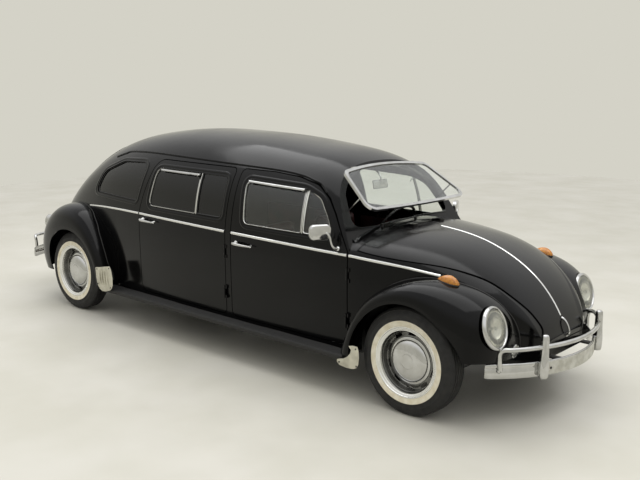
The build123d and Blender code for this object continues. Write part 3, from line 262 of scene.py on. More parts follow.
def work(piece, mode="EDGE"):
    """Edit mode on one piece, nothing selected."""
    take(piece)
    bpy.ops.object.mode_set(mode="EDIT")
    bpy.ops.mesh.select_mode(type=mode)
    bpy.ops.mesh.select_all(action="DESELECT")


def work_all(piece, mode="EDGE"):
    """Edit mode on one piece, all of it selected."""
    work(piece, mode)
    bpy.ops.mesh.select_all(action="SELECT")


def pick(piece, mode, test):
    """Select what passes a test on its centre and normal, in edit mode."""
    bpy.ops.mesh.select_mode(type=mode)
    bpy.ops.mesh.select_all(action="DESELECT")
    mesh = bmesh.from_edit_mesh(piece.data)
    for item in {"VERT": mesh.verts, "EDGE": mesh.edges, "FACE": mesh.faces}[mode]:
        if mode == "VERT":
            centre, normal = item.co, item.normal
        elif mode == "EDGE":
            centre = (item.verts[0].co + item.verts[1].co) / 2
            normal = item.verts[0].normal + item.verts[1].normal
        else:
            centre, normal = item.calc_center_median(), item.normal
        item.select = bool(test(centre, normal))
    mesh.select_flush_mode()
    bmesh.update_edit_mesh(piece.data)


def modify(piece, kind, **settings):
    """A modifier added and applied."""
    take(piece)
    made = piece.modifiers.new(kind.lower(), kind)
    for name, value in settings.items():
        setattr(made, name, value)
    bpy.ops.object.modifier_apply(modifier=made.name)
    return piece


def outward(piece):
    """Doubles merged and faces turned outwards."""
    work_all(piece)
    bpy.ops.mesh.remove_doubles(threshold=0.00002)
    bpy.ops.mesh.normals_make_consistent(inside=False)
    rest_all()
    return piece


def done(piece, name, material, smooth=40, body="car_body", stands_for=()):
    """Name, finish, shading angle in degrees, and the body that it rides on."""
    take(piece)
    piece.name = name
    bpy.ops.object.transform_apply(location=True, rotation=True, scale=True)
    piece.data.materials.clear()
    piece.data.materials.append(material)
    bpy.ops.object.shade_smooth_by_angle(angle=math.radians(smooth))
    rest_all()
    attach(piece, body)
    if stands_for:
        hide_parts(*stands_for)
    return piece


def aimed(origin, axis):
    """A placing whose Z points along axis and whose Y is as near upright as it can be."""
    z = Vector(axis).normalized()
    x = Vector((0, 0, 1)).cross(z)
    x = x.normalized() if x.length > 1e-6 else Vector((1, 0, 0))
    placing = Matrix((x, z.cross(x), z)).transposed().to_4x4()
    placing.translation = origin
    return placing


def turned(profile, steps, placing=None, stretch=(1, 1)):
    """A profile of (radius, height) spun about Z, then stretched and placed."""
    rest_all()
    bpy.ops.mesh.primitive_plane_add(size=0.001)
    piece = bpy.context.object
    work_all(piece, "VERT")
    bpy.ops.mesh.merge(type="CENTER")
    bpy.ops.transform.translate(value=(profile[0][0] * MM, 0, profile[0][1] * MM))
    for (r0, h0), (r1, h1) in zip(profile, profile[1:]):
        bpy.ops.mesh.extrude_vertices_move(
            TRANSFORM_OT_translate={"value": ((r1 - r0) * MM, 0, (h1 - h0) * MM)})
    bpy.ops.mesh.select_all(action="SELECT")
    bpy.ops.mesh.spin(steps=steps, angle=math.tau, center=(0, 0, 0), axis=(0, 0, 1))
    bpy.ops.mesh.select_all(action="SELECT")
    bpy.ops.mesh.remove_doubles(threshold=0.00002)
    bpy.ops.mesh.normals_make_consistent(inside=False)
    rest_all()
    piece.data.transform(Matrix.Diagonal((*stretch, 1, 1)))
    if placing:
        piece.data.transform(placing)
    return piece


def bar(points, radius, fit=None, sides=6):
    """A round bar along a smooth line of places; fit gives its own radius share at each."""
    curve = bpy.data.curves.new("bar", "CURVE")
    curve.dimensions = "3D"
    curve.bevel_depth = radius * MM
    curve.bevel_resolution = sides
    curve.use_fill_caps = True
    run = curve.splines.new("NURBS")
    run.points.add(len(points) - 1)
    for point, where, share in zip(run.points, points, fit or [1] * len(points)):
        point.co = (*where, 1)
        point.radius = share
    run.order_u = 3
    run.use_endpoint_u = True
    run.resolution_u = 8
    piece = bpy.data.objects.new("bar", curve)
    scene.collection.objects.link(piece)
    take(piece)
    bpy.ops.object.convert(target="MESH")
    return outward(bpy.context.object)


def placed(placing, *points):
    """Points of a piece's own frame, in metres, put where it goes."""
    return [placing @ Vector(point) for point in points]


def joined(first, *others):
    """Several pieces as one mesh."""
    take(first)
    for other in others:
        other.select_set(True)
    bpy.ops.object.join()
    rest_all()
    return first


def copy_at(piece, placing):
    """A copy with its own mesh, put where it goes."""
    other = piece.copy()
    other.data = piece.data.copy()
    scene.collection.objects.link(other)
    other.data.transform(placing)
    return other


def rounded_block(low, high, radius, segments=3):
    """A box between two corners, cut from a cube, its edges rolled over."""
    rest_all()
    low, high = Vector(low), Vector(high)
    bpy.ops.mesh.primitive_cube_add(size=1, location=(low + high) / 2)
    piece = bpy.context.object
    piece.scale = high - low
    bpy.ops.object.transform_apply(location=True, rotation=True, scale=True)
    work_all(piece)
    bpy.ops.mesh.bevel(offset=radius * MM, segments=segments, affect="EDGES")
    rest_all()
    return piece


# ---- following the body's skin
def skin(*names):
    """The named CAD surfaces, as one tree for rays."""
    points, faces = [], []
    for name in names:
        first = len(points)
        mesh = nodes[name].data
        points += [v.co.copy() for v in mesh.vertices]
        faces += [[first + i for i in p.vertices] for p in mesh.polygons]
    return BVHTree.FromPolygons(points, faces)


def touch(tree, start, toward):
    """Where a ray first meets a skin, with the normal facing back along it."""
    where, normal, _, _ = tree.ray_cast(start, Vector(toward).normalized())
    if where is None:
        return None, None
    if normal.dot(Vector(toward)) > 0:
        normal = -normal
    return where, normal


def strip(places, normals, section, closed=False):
    """A moulding: a section of (across, out) in mm carried along places on a skin.

    Its twist follows the skin, which no bevelled curve does, so its faces are laid here."""
    count = len(places)
    points, faces = [], []
    across_points = len(section)
    for i, (where, normal) in enumerate(zip(places, normals)):
        after = places[(i + 1) % count] if closed else places[min(i + 1, count - 1)]
        before = places[i - 1] if closed or i else places[0]
        along = (after - before).normalized()
        across = along.cross(normal).normalized()
        out = across.cross(along).normalized()
        points += [where + across * (a * MM) + out * (o * MM) for a, o in section]
    laps = count if closed else count - 1
    for i in range(laps):
        j = (i + 1) % count
        for k in range(across_points):
            m = (k + 1) % across_points
            faces.append((i * across_points + k, i * across_points + m,
                          j * across_points + m, j * across_points + k))
    if not closed:
        faces.append(tuple(range(across_points - 1, -1, -1)))
        faces.append(tuple((count - 1) * across_points + k for k in range(across_points)))
    mesh = bpy.data.meshes.new("strip")
    mesh.from_pydata(points, [], faces)
    piece = bpy.data.objects.new("strip", mesh)
    scene.collection.objects.link(piece)
    return outward(piece)


def line(points, step):
    """Points of a polyline at even steps, in the same units."""
    result = [tuple(points[0])]
    for a, b in zip(points, points[1:]):
        parts = max(1, round(math.dist(a, b) / step))
        result += [tuple(p + (q - p) * i / parts for p, q in zip(a, b)) for i in range(1, parts + 1)]
    return result


def smooth_line(points, parts=6):
    """A Catmull-Rom line through the points."""
    result = []
    ends = [points[0], *points, points[-1]]
    for a, b, c, d in zip(ends, ends[1:], ends[2:], ends[3:]):
        for i in range(parts):
            t = i / parts
            result.append(tuple(
                0.5 * (2 * q + (r - p) * t + (2 * p - 5 * q + 4 * r - s) * t * t
                       + (3 * q - p - 3 * r + s) * t ** 3)
                for p, q, r, s in zip(a, b, c, d)))
    return result + [tuple(points[-1])]


def rounded(points, radii):
    """A closed outline with rounded corners."""
    parts = 7
    result = []
    count = len(points)
    for i, radius in enumerate(radii):
        a, b, c = (Vector(points[(i + k) % count]) for k in (-1, 0, 1))
        u, w = (a - b).normalized(), (c - b).normalized()
        half = u.angle(w) / 2
        back = min(radius / math.tan(half), (a - b).length * 0.48, (c - b).length * 0.48)
        start, end = b + u * back, b + w * back
        for k in range(parts + 1):
            t = k / parts
            result.append(tuple(start * (1 - t) ** 2 + b * 2 * t * (1 - t) + end * t * t))
    return result


def evened(points, step):
    """A closed outline with points at about even steps."""
    return line([*points, points[0]], step)[:-1]


def grown(points, amount):
    """A closed outline moved outwards."""
    count = len(points)
    area = sum(a[0] * b[1] - b[0] * a[1] for a, b in zip(points, points[1:] + points[:1]))
    turn = 1 if area > 0 else -1
    result = []
    for i, (x, y) in enumerate(points):
        before, after = points[i - 1], points[(i + 1) % count]
        dx, dy = after[0] - before[0], after[1] - before[1]
        size = math.hypot(dx, dy) or 1
        result.append((x + turn * dy / size * amount, y - turn * dx / size * amount))
    return result


def hits(tree, starts, toward):
    """Places and normals where parallel rays meet a skin, without those that miss."""
    found = [touch(tree, start, toward) for start in starts]
    found = [(where, normal) for where, normal in found if where is not None]
    return [where for where, _ in found], [normal for _, normal in found]


def on_side(tree, side, points):
    """Where side-view points (y, z) meet the skin of one side, seen from outside."""
    return hits(tree, [at(side * OUTSIDE, y, z) for y, z in points], (-side, 0, 0))


def on_tail(tree, points):
    """Where rear-view points (x, z) meet a skin, seen from behind."""
    return hits(tree, [at(x, BEHIND, z) for x, z in points], (0, -1, 0))


# ---- wheels
CORNERS = ("front_left", "front_right", "rear_left", "rear_right")
TREAD_STEPS = 144
TREAD_RADIUS, TREAD_HALF, TREAD_WAVE = 306, 43, 1.6
SHOULDER_INNER, SHOULDER_OUTER, SHOULDER_CUT = 290, 307, 2.2
TYRE_HALF = [
    (194, 50), (197, 60), (205, 67), (209, 69.5), (240, 72.6), (243, 73.6), (246, 73.6), (249, 72),
    (266, 70.4), (269, 71.2), (272, 70), (287, 64), (298, 58.5), (301, 59), (305, 55.5), (311, 50),
    (314, 45),
    (314.8, 42), (308.5, 40.5), (308.5, 37), (315.3, 35.5), (316.4, 22), (309.5, 20.5), (309.5, 16.5),
    (316.6, 15), (317, 2.5), (310, 1.6),
]
tyre_profile = TYRE_HALF + [(r, -h) for r, h in reversed(TYRE_HALF)]
tyre = turned(tyre_profile, TREAD_STEPS)
for vertex in tyre.data.vertices:
    radius = math.hypot(vertex.co.x, vertex.co.y) / MM
    step = round(math.atan2(vertex.co.y, vertex.co.x) / math.tau * TREAD_STEPS)
    if radius > TREAD_RADIUS and abs(vertex.co.z) < TREAD_HALF * MM:
        vertex.co.z += (TREAD_WAVE if step // 2 % 2 else -TREAD_WAVE) * MM
    elif SHOULDER_INNER < radius < SHOULDER_OUTER and step % 2:
        vertex.co.xy *= 1 - SHOULDER_CUT / radius
tyre.name = "tyre"

whitewall_ring = outward(turned([
    (208, 69), (208.5, 70.4), (212, 71.2), (236, 73.2), (240, 73.6), (241.5, 72.6), (241, 71)], 96))
trim_ring = turned([
    (208, 64), (209, 69.5), (207.4, 72), (204.6, 72.6), (202, 71.6), (200.4, 68.6), (198.4, 67),
    (192, 66), (187, 62.6), (183.6, 56), (181.6, 46), (180.6, 36), (178.6, 36), (180, 48), (183, 62),
    (205, 64)], 128)
barrel = turned([
    (203, 60), (203, 65), (197, 65), (190, 57), (187, 40), (176, 32), (174, -16), (187, -28), (189, -52),
    (197, -62), (203, -62), (203, -56), (195, -52), (193, -26), (181, -14), (183, 30), (193, 38),
    (196, 58), (203, 60)], 72)

SLOT_STEPS = 80
SLOTS = 10
SLOT_INNER, SLOT_OUTER = 149, 164
disc = turned([
    (178, 48), (176, 34), (173, 20), (170, 12), (165.5, 8.5), (160, 8), (152, 9.5), (147, 11.5),
    (142, 13), (130, 14), (104, 14), (60, 12), (40, 8), (1, 8)], SLOT_STEPS)


def in_slot(centre, normal):
    """Whether a face of the disc lies where a vent slot is cut."""
    turn = (math.atan2(centre.y, centre.x) / math.tau * SLOTS) % 1
    return SLOT_INNER < math.hypot(centre.x, centre.y) / MM < SLOT_OUTER and 0.3 < turn < 0.8


work(disc)
pick(disc, "FACE", in_slot)
bpy.ops.mesh.delete(type="FACE")
rest_all()
modify(disc, "SOLIDIFY", thickness=4 * MM, offset=-1)
modify(disc, "SUBSURF", levels=1, render_levels=1)
hub_cap = turned([
    (131, 13), (137, 14), (139, 18), (137, 22.5), (131.5, 25), (126.5, 25.4), (124, 26.5), (122, 30),
    (118.5, 35), (112, 40), (101, 45), (86, 49.2), (68, 52.2), (50, 53.8), (44, 54.4), (41, 55.2),
    (38.5, 54.6), (36, 54.4), (20, 55), (0.5, 55.2)], 72)
drum = turned([
    (60, -12), (112, -12), (118, -16), (120, -24), (120, -48), (124, -50), (124, -56), (118, -60),
    (60, -60), (40, -52), (2, -52)], 64)
valve = bar([Vector((0.171, 0, 0.018)), Vector((0.171, 0, 0.03)), Vector((0.166, 0, 0.046))], 3.4,
            [1.2, 1, 0.8])

wheel_pieces = (
    ("tyre", tyre, tyre_rubber, 30), ("whitewall", whitewall_ring, whitewall, 40),
    ("trim_ring", trim_ring, trim_metal, 40), ("wheel_barrel", barrel, wheel_enamel, 40),
    ("wheel_disc", disc, wheel_enamel, 40), ("hub_cap", hub_cap, chrome, 28),
    ("brake_drum", drum, chassis_paint, 40), ("tyre_valve", valve, rubber, 40),
)
for corner in CORNERS:
    side = 1 if "left" in corner else -1
    placing = aimed(middle("tyre_" + corner), (side, 0, 0))
    for label, pattern, material, angle in wheel_pieces:
        piece = copy_at(pattern, placing)
        standing = {"tyre": ["tyre_" + corner], "wheel_disc": ["rim_" + corner]}.get(label, [])
        done(piece, f"{label}_{corner}", material, angle, "wheel_" + corner, standing)
for _, pattern, _, _ in wheel_pieces:
    bpy.data.objects.remove(pattern)


# ---- headlamps
LAMP_TILT = math.radians(17)
LAMP_AXIS = Vector((0, -math.cos(LAMP_TILT), math.sin(LAMP_TILT)))
LAMP_OVAL = (116 / 122, 1)
LAMP_OUT, LAMP_ALONG, LAMP_HEIGHT = 563, -467, 581


def rib(piece, pitch, depth, limit):
    """Vertical flutes pressed in a lens that faces Z."""
    for vertex in piece.data.vertices:
        if vertex.co.xy.length < limit * MM:
            vertex.co.z += depth * MM * math.cos(vertex.co.x / MM / pitch * math.tau)
    return piece


for side, hand in SIDES:
    placing = aimed(at(side * LAMP_OUT, LAMP_ALONG, LAMP_HEIGHT), LAMP_AXIS)
    ring = turned([
        (117, -14), (121, -10), (122, -3), (120.5, 4), (116, 9), (110.5, 11), (106, 9), (103.5, 4),
        (104, -4), (110, -12), (117, -14)], 72, placing, LAMP_OVAL)
    done(ring, f"headlamp_ring_{hand}", chrome, stands_for=["headlamps"] if side > 0 else [])
    bowl = turned([
        (107, -2), (103, -8), (94, -22), (78, -36), (55, -47), (28, -53), (0.5, -55)], 56, placing,
        LAMP_OVAL)
    done(bowl, f"headlamp_reflector_{hand}", silvered)
    dome = [(105 - i * 4.2, 3 + 14 * math.sin(i / 25 * math.pi / 2)) for i in range(25)]
    lens = turned([*dome, (0.5, 17)], 112)
    rib(lens, 15, 0.7, 99)
    lens.data.transform(Matrix.Diagonal((*LAMP_OVAL, 1, 1)))
    lens.data.transform(placing)
    done(lens, f"headlamp_lens_{hand}", lamp_glass, 60, stands_for=["headlamp_glass"] if side > 0 else [])
    bulb = turned([(0.5, -2), (9, -5), (13, -14), (11, -24), (7, -32), (7, -50), (0.5, -52)], 24, placing)
    done(bulb, f"headlamp_bulb_{hand}", lamp_glass, 60)
    foot = placing @ Vector((0, -0.117, 0.006))
    screw = turned([(6.4, -6), (6.4, 2), (5, 4), (1.4, 4.4), (1.2, 3), (0.4, 3)], 20,
                   aimed(foot, LAMP_AXIS))
    done(screw, f"headlamp_screw_{hand}", chrome, 30)


# ---- body skins for what lies on them
cabin_skin = skin("side_frames", "front_body", "rear_body", "roof_panel", "cowl_panel", "bonnet")
hood_skin = skin("bonnet")
nose_skin = skin("front_body", "bonnet", "cowl_panel")
wing_skin = {"front": skin("front_wings"), "rear": skin("rear_wings")}
tail_skin = skin("rear_body")
lid_skin = skin("engine_lid")
door_skin = {(end, hand): skin(f"door_{end}_{hand}") for end in ("front", "rear")
             for hand in ("left", "right")}
window_skin = {(end, hand): skin(f"door_glass_{end}_{hand}") for end in ("front", "rear")
               for hand in ("left", "right")}
quarter_skin = skin("quarter_glass")

BELT_SECTION = [(-8, -1.5), (-8.5, 1), (-6, 3.6), (-2.5, 5), (2.5, 5), (6, 3.6), (8.5, 1), (8, -1.5)]


def belt_line(y):
    """Height of the waist moulding, rising towards the back door."""
    return 850 + (y - 499) * 26 / 1985


def belt_moulding(name, tree, side, points, body="car_body"):
    """The bright waist moulding, along side-view points."""
    found = on_side(tree, side, line(points, 22))
    done(strip(*found, BELT_SECTION), "belt_moulding_" + name, trim_metal, body=body)


for side, hand in SIDES:
    for end, (near, far) in (("front", (499, 1476)), ("rear", (1544, 2484))):
        belt_moulding(f"door_{end}_{hand}", door_skin[end, hand], side,
                      [(y, belt_line(y)) for y in (near, far)], f"passenger_door_{end}_{hand}")
    belt_moulding(f"quarter_{hand}", cabin_skin, side,
                  smooth_line([(2497, 876), (2750, 874), (3000, 866), (3215, 850)]))
    belt_moulding(f"wing_{hand}", cabin_skin, side,
                  smooth_line([(484, 849), (430, 847), (158, 829), (20, 816), (-96, 804)]))


# ---- windows
FRONT_PANE = rounded([(872, 936), (896, 1208), (1413, 1223), (1373, 936)], [14, 14, 44, 44])
REAR_PANE = rounded([(1856, 948), (1866, 1223), (2352, 1223), (2384, 948)], [14, 14, 66, 42])
FRONT_VENT = rounded([(622, 938), (690, 1054), (768, 1152), (878, 1202), (854, 938)], [26, 220, 90, 14, 14])
REAR_FIXED = rounded([(1592, 948), (1592, 1221), (1850, 1221), (1840, 948)], [42, 42, 14, 14])
FRONT_OPENING = rounded([(612, 932), (686, 1056), (764, 1160), (900, 1210), (1416, 1226), (1376, 932)],
                        [36, 300, 120, 300, 46, 46])
REAR_OPENING = rounded([(1586, 944), (1586, 1226), (2356, 1226), (2388, 944)], [46, 46, 70, 46])
QUARTER_OPENING = rounded([(2542, 960), (2482, 1252), (2828, 1236), (3073, 1140), (3143, 972)],
                          [40, 60, 240, 110, 40])
PANE_TRIM = [(-3.5, 0), (-3.5, 8), (-2, 10), (2, 10), (3.5, 8), (3.5, 0)]
VENT_TRIM = [(-3.5, 0), (-3.5, 6), (0, 8), (3.5, 6), (3.5, 0)]
DIVIDER = [(-3, 0), (-3, 8), (-1.5, 10), (1.5, 10), (3, 8), (3, 0)]
SEAL = [(-7, -5), (-7, 1.5), (-3, 4), (3, 4), (7, 1.5), (7, -5)]
FLANGE = [(-11, -2), (-11, 0.5), (-6, 2.6), (0, 3.2), (6, 2.6), (11, 0.5), (11, -2)]
VISOR = [(0, 4), (3, 8), (4, 22), (1, 27), (-6, 30), (-10, 28), (-5, 24), (-3, 20), (-4, 6)]


def hoop(name, tree, side, outline, section, material, body="car_body"):
    """A closed moulding round a window."""
    found = on_side(tree, side, evened(outline, 18))
    done(strip(*found, section, closed=True), name, material, body=body)


def stretch_of(outline, test):
    """The part of a closed outline that passes a test, in order."""
    ring = evened(outline, 16)
    start = next(i for i in range(len(ring)) if test(ring[i]) and not test(ring[i - 1]))
    result = []
    for i in range(len(ring)):
        point = ring[(start + i) % len(ring)]
        if not test(point):
            break
        result.append(point)
    return result


for side, hand in SIDES:
    for end, pane, other, opening, split in (
            ("front", FRONT_PANE, FRONT_VENT, FRONT_OPENING, ((863, 934), (887, 1207))),
            ("rear", REAR_PANE, REAR_FIXED, REAR_OPENING, ((1848, 946), (1858, 1224)))):
        body = f"passenger_door_{end}_{hand}"
        panes = window_skin[end, hand]
        top = 1180 if end == "front" else 1184
        run = stretch_of(pane, lambda p: p[1] < top or p[0] > split[0][0] + 60)
        done(strip(*on_side(panes, side, run), PANE_TRIM), f"window_trim_{end}_{hand}", chrome, body=body)
        hoop(f"vent_frame_{end}_{hand}", panes, side, other, VENT_TRIM,
             satin_black if end == "rear" else trim_metal, body)
        divider = strip(*on_side(panes, side, line(split, 20)), DIVIDER)
        done(divider, f"window_divider_{end}_{hand}", trim_metal, body=body)
        hoop(f"window_seal_{end}_{hand}", panes, side, grown(opening, -3), SEAL, rubber, body)
        hoop(f"window_flange_{end}_{hand}", door_skin[end, hand], side, grown(opening, 19), FLANGE,
             enamel, body)
        near, far = (902, 1384) if end == "front" else (1872, 2298)
        rise = (1203, 1216) if end == "front" else (1218, 1218)
        places, normals = on_side(panes, side, line([(near, rise[0]), (far, rise[1])], 24))
        tilted = [(n + Vector((0, 0, -0.55))).normalized() for n in normals]
        done(strip(places, tilted, VISOR), f"rain_visor_{end}_{hand}", chrome, body=body)
        first, out = places[0], tilted[0]
        hook = bar([first, first + out * 0.03 + Vector((0, -0.004, 0)), first + out * 0.044,
                    first + out * 0.03 + Vector((0, 0.012, -0.02)), first + Vector((0, 0.004, -0.04))], 3.4)
        done(hook, f"visor_hook_{end}_{hand}", chrome, body=body)
    hoop(f"quarter_window_seal_{hand}", quarter_skin, side, grown(QUARTER_OPENING, -3), SEAL, rubber)
    hoop(f"quarter_window_flange_{hand}", cabin_skin, side, grown(QUARTER_OPENING, 19), FLANGE, enamel)

# ---- rain gutters and wing beads
GUTTER = [(-7, -3), (-7, 5), (-4, 8), (-1.5, 8), (-0.5, 5), (3, 3.5), (5, 4.5), (6, -3)]
GUTTER_LINE = smooth_line([
    (2990, 1250), (2880, 1284), (2784, 1306), (2453, 1318), (1917, 1311), (1417, 1302), (1150, 1294),
    (967, 1278), (860, 1254), (799, 1236), (735, 1184), (675, 1122), (630, 1010), (606, 930)], 8)
for side, hand in SIDES:
    done(strip(*on_side(cabin_skin, side, GUTTER_LINE), GUTTER), f"rain_gutter_{hand}", enamel)

BEAD = [(5 * math.cos(a / 8 * math.tau), 5.5 * math.sin(a / 8 * math.tau)) for a in range(8)]


def join_line(wing, body_tree, walks):
    """Where a wing's skin meets the body's, walking from each start until the wing stands proud."""
    places, normals = [], []
    for start, step, toward, count in walks:
        toward = Vector(toward).normalized()
        for i in range(count):
            origin = start + Vector(step) * (i * MM)
            on_wing, wing_normal = touch(wing, origin, toward)
            on_body, body_normal = touch(body_tree, origin, toward)
            if on_wing is None:
                continue
            if on_body is None or (on_wing - origin).length < (on_body - origin).length - 0.0006:
                places.append(on_wing)
                normals.append((wing_normal + (body_normal or wing_normal)).normalized())
                break
    return places, normals


def even_out(places):
    """The line with its small steps smoothed away."""
    for _ in range(3):
        inner = [(a + b * 2 + c) / 4 for a, b, c in zip(places, places[1:], places[2:])]
        places = [places[0], *inner, places[-1]]
    return places


for side, hand in SIDES:
    out = Vector((side, 0, 0))
    walks = [(at(side * 380, y, 1400), out, (0, 0, -1), 400) for y in range(400, -421, -20)]
    # Below 400 mm the wing's front edge ends, and there is no more join to follow.
    walks += [(at(side * 330, -1000, z), out, (0, 1, 0), 400) for z in range(640, 390, -20)]
    places, normals = join_line(wing_skin["front"], nose_skin, walks)
    bead = strip(even_out(places), even_out(normals), BEAD)
    done(bead, f"wing_bead_front_{hand}", rubber, 60)
    walks = [(at(side * OUTSIDE, WHEELBASE - 640, z), (0, 1, 0), (-side, 0, 0), 500)
             for z in range(300, 800, 20)]
    walks += [(at(side * 400, WHEELBASE + y, 1500), out, (0, 0, -1), 400) for y in range(-160, 561, 20)]
    places, normals = join_line(wing_skin["rear"], cabin_skin, walks)
    bead = strip(even_out(places), even_out(normals), BEAD)
    done(bead, f"wing_bead_rear_{hand}", rubber, 60)

# ---- bonnet strip and handle
HOOD_SECTION = [(-6, -1), (-6.5, 1.5), (-4, 4), (0, 5), (4, 4), (6.5, 1.5), (6, -1)]
hood_places, hood_normals = [], []
# Rays point in from a circle round a place inside the bonnet, from over its back edge down to its nose.
HOOD_CENTRE, HOOD_REACH, HOOD_RAYS, FIRST_ANGLE, ANGLE_STEP = (200, 280), 1900, 44, 95, 2.42
STRIP_NOSE, STRIP_TAIL = -588, 318
for step in range(HOOD_RAYS):
    turn = math.radians(FIRST_ANGLE - step * ANGLE_STEP)
    ray_from = at(0, HOOD_CENTRE[0] - HOOD_REACH * math.cos(turn),
                  HOOD_CENTRE[1] + HOOD_REACH * math.sin(turn))
    where, normal = touch(hood_skin, ray_from, at(0, *HOOD_CENTRE) - ray_from)
    if where is not None and at(0, STRIP_NOSE, 0).y < where.y < at(0, STRIP_TAIL, 0).y:
        hood_places.append(where)
        hood_normals.append(normal)
done(strip(hood_places, hood_normals, HOOD_SECTION), "bonnet_strip", trim_metal, body="front_lid")

handle_top, handle_normal = touch(hood_skin, at(0, -1500, 533), (0, 1, 0))
handle_foot, foot_normal = touch(hood_skin, at(0, -1500, 458), (0, 1, 0))
away = (handle_normal + foot_normal).normalized()
rise = handle_top - handle_foot
bonnet_handle = bar([handle_top + rise * 0.2, handle_top + away * 0.012 + rise * 0.12,
                     handle_top + away * 0.024 - rise * 0.2, handle_foot + away * 0.027 + rise * 0.35,
                     handle_foot + away * 0.02, handle_foot - rise * 0.1], 6, [1.5, 1.1, 0.9, 0.9, 1.1, 1.5])
done(bonnet_handle, "bonnet_handle", chrome, 50, body="front_lid")


# ---- turn signals
for side, hand in SIDES:
    fore, fore_normal = touch(wing_skin["front"], at(side * 567, -226, 1200), (0, 0, -1))
    aft, aft_normal = touch(wing_skin["front"], at(side * 567, -96, 1200), (0, 0, -1))
    along = (fore - aft).normalized()
    lift = (fore_normal + aft_normal).normalized()
    lift = (lift - along * lift.dot(along)).normalized()
    centre = (fore + aft) / 2
    placing = Matrix((along, lift.cross(along), lift)).transposed().to_4x4()
    placing.translation = centre
    # The base is cut just above its own lower pole, and the lens 8 mm above its middle.
    for label, wide, tall, low, material in (
            ("signal_lens", 32, 46, 8 / 46, amber), ("signal_base", 35, 20, -0.9, satin_black)):
        rest_all()
        bpy.ops.mesh.primitive_uv_sphere_add(segments=40, ring_count=24, radius=1)
        piece = bpy.context.object
        work_all(piece)
        bpy.ops.mesh.bisect(plane_co=(0, 0, low), plane_no=(0, 0, 1), clear_inner=True, use_fill=True)
        rest_all()
        for vertex in piece.data.vertices:
            x, y, z = vertex.co
            tail = max(0.0, min(1.0, (0.35 - x) / 1.35))
            slim = 1 - 0.62 * tail ** 1.5
            ridge = 1 + 0.05 * (abs(y) < 0.12 and z > 0)
            vertex.co = (x * 72 * MM, y * wide * slim * MM, z * tall * (1 - 0.5 * tail ** 1.6) * ridge * MM)
        piece.data.transform(placing)
        outward(piece)
        done(piece, f"turn_{label}_{hand}", material, 50,
             stands_for=["turn_signals"] if side > 0 and label == "signal_lens" else [])

# ---- tail lamps and horn grilles
TAIL_LAMP_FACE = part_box("tail_lamps")[1].y
TAIL_LAMP_OUT, TAIL_LAMP_HEIGHT = 612, 650
TAIL_LAMP_OVAL = (42 / 62, 1)
TAIL_LAMP_RING = [(56, -60), (62, -56), (63, -12), (63, 3), (60.5, 7), (57, 8), (54, 5), (54, -4), (56, -60)]
TAIL_LAMP_LENS = [(55, 3), (54, 7), (48, 11), (40, 13), (39, 11.5), (30, 15), (29, 13.5), (18, 17), (0.5, 18)]
HORN_OUT, HORN_HEIGHT = 417, 430
for side, hand in SIDES:
    placing = aimed(Vector((side * TAIL_LAMP_OUT * MM, TAIL_LAMP_FACE - 12 * MM, TAIL_LAMP_HEIGHT * MM)),
                    (0, 1, 0))
    ring = turned(TAIL_LAMP_RING, 56, placing, TAIL_LAMP_OVAL)
    done(ring, f"tail_lamp_ring_{hand}", chrome, stands_for=["tail_lamps"] if side > 0 else [])
    lens = turned(TAIL_LAMP_LENS, 56, placing, TAIL_LAMP_OVAL)
    done(lens, f"tail_lamp_lens_{hand}", ruby, 30)
    where, normal = touch(wing_skin["front"], at(side * HORN_OUT, -1200, HORN_HEIGHT), (0, 1, 0))
    body_where, body_normal = touch(nose_skin, at(side * HORN_OUT, -1200, HORN_HEIGHT), (0, 1, 0))
    if where is None or (body_where is not None and body_where.y < where.y):
        where, normal = body_where, body_normal
    placing = aimed(where, normal)
    grille = turned([(34, -6), (39, -4), (40, 1), (37.5, 4), (34, 5), (31, 3), (30.5, -4)], 48, placing)
    plate = turned([(31.5, 0), (20, 1.2), (0.5, 1.6)], 48, placing)
    done(plate, f"horn_grille_back_{hand}", satin_black, 30)
    slats = []
    for x in (-22, -11, 0, 11, 22):
        half = math.sqrt(31 ** 2 - x ** 2)
        slats.append(bar(placed(placing, (x * MM, -half * MM, 0.001), (x * MM, 0, 0.004),
                                (x * MM, half * MM, 0.001)), 2.6, sides=2))
    done(joined(grille, *slats), f"horn_grille_{hand}", chrome)


# ---- bumpers
def column(stations):
    """A post extruded upwards through (x, y, z, half width, half depth) stations."""
    rest_all()
    bpy.ops.mesh.primitive_circle_add(vertices=16, radius=1, fill_type="NGON")
    piece = bpy.context.object
    x, y, z, wide, deep = stations[0]
    work_all(piece, "FACE")
    bpy.ops.transform.resize(value=(wide * MM, deep * MM, 1))
    bpy.ops.transform.translate(value=at(x, y, z))
    for (x0, y0, z0, w0, d0), (x1, y1, z1, w1, d1) in zip(stations, stations[1:]):
        bpy.ops.mesh.extrude_region_move(
            TRANSFORM_OT_translate={"value": ((x1 - x0) * MM, (y1 - y0) * MM, (z1 - z0) * MM)})
        bpy.ops.transform.resize(value=(w1 / w0, d1 / d0, 1), center_override=at(x1, y1, z1))
    rest_all()
    return outward(piece)


BLADE_HALF = 606
BOW_HALF, RAIL_BOW_HALF, RAIL_RISE = 600, 540, 88
OVERRIDER_OUT = 352
IRON_OUT, IRON_HALF = 200, 18
PLATE_HEIGHT = 339
BLADE_SECTION = [(-43, -13), (-43, -5), (-38, -1.5), (-12, 0), (10, -0.5), (15, -3.5), (18.5, -3.5),
                 (22, -1), (37, -2), (42, -5), (43, -13)]
PLATE_SECTION = [(-37, 0.5), (-37, 3), (37, 3), (37, 0.5)]


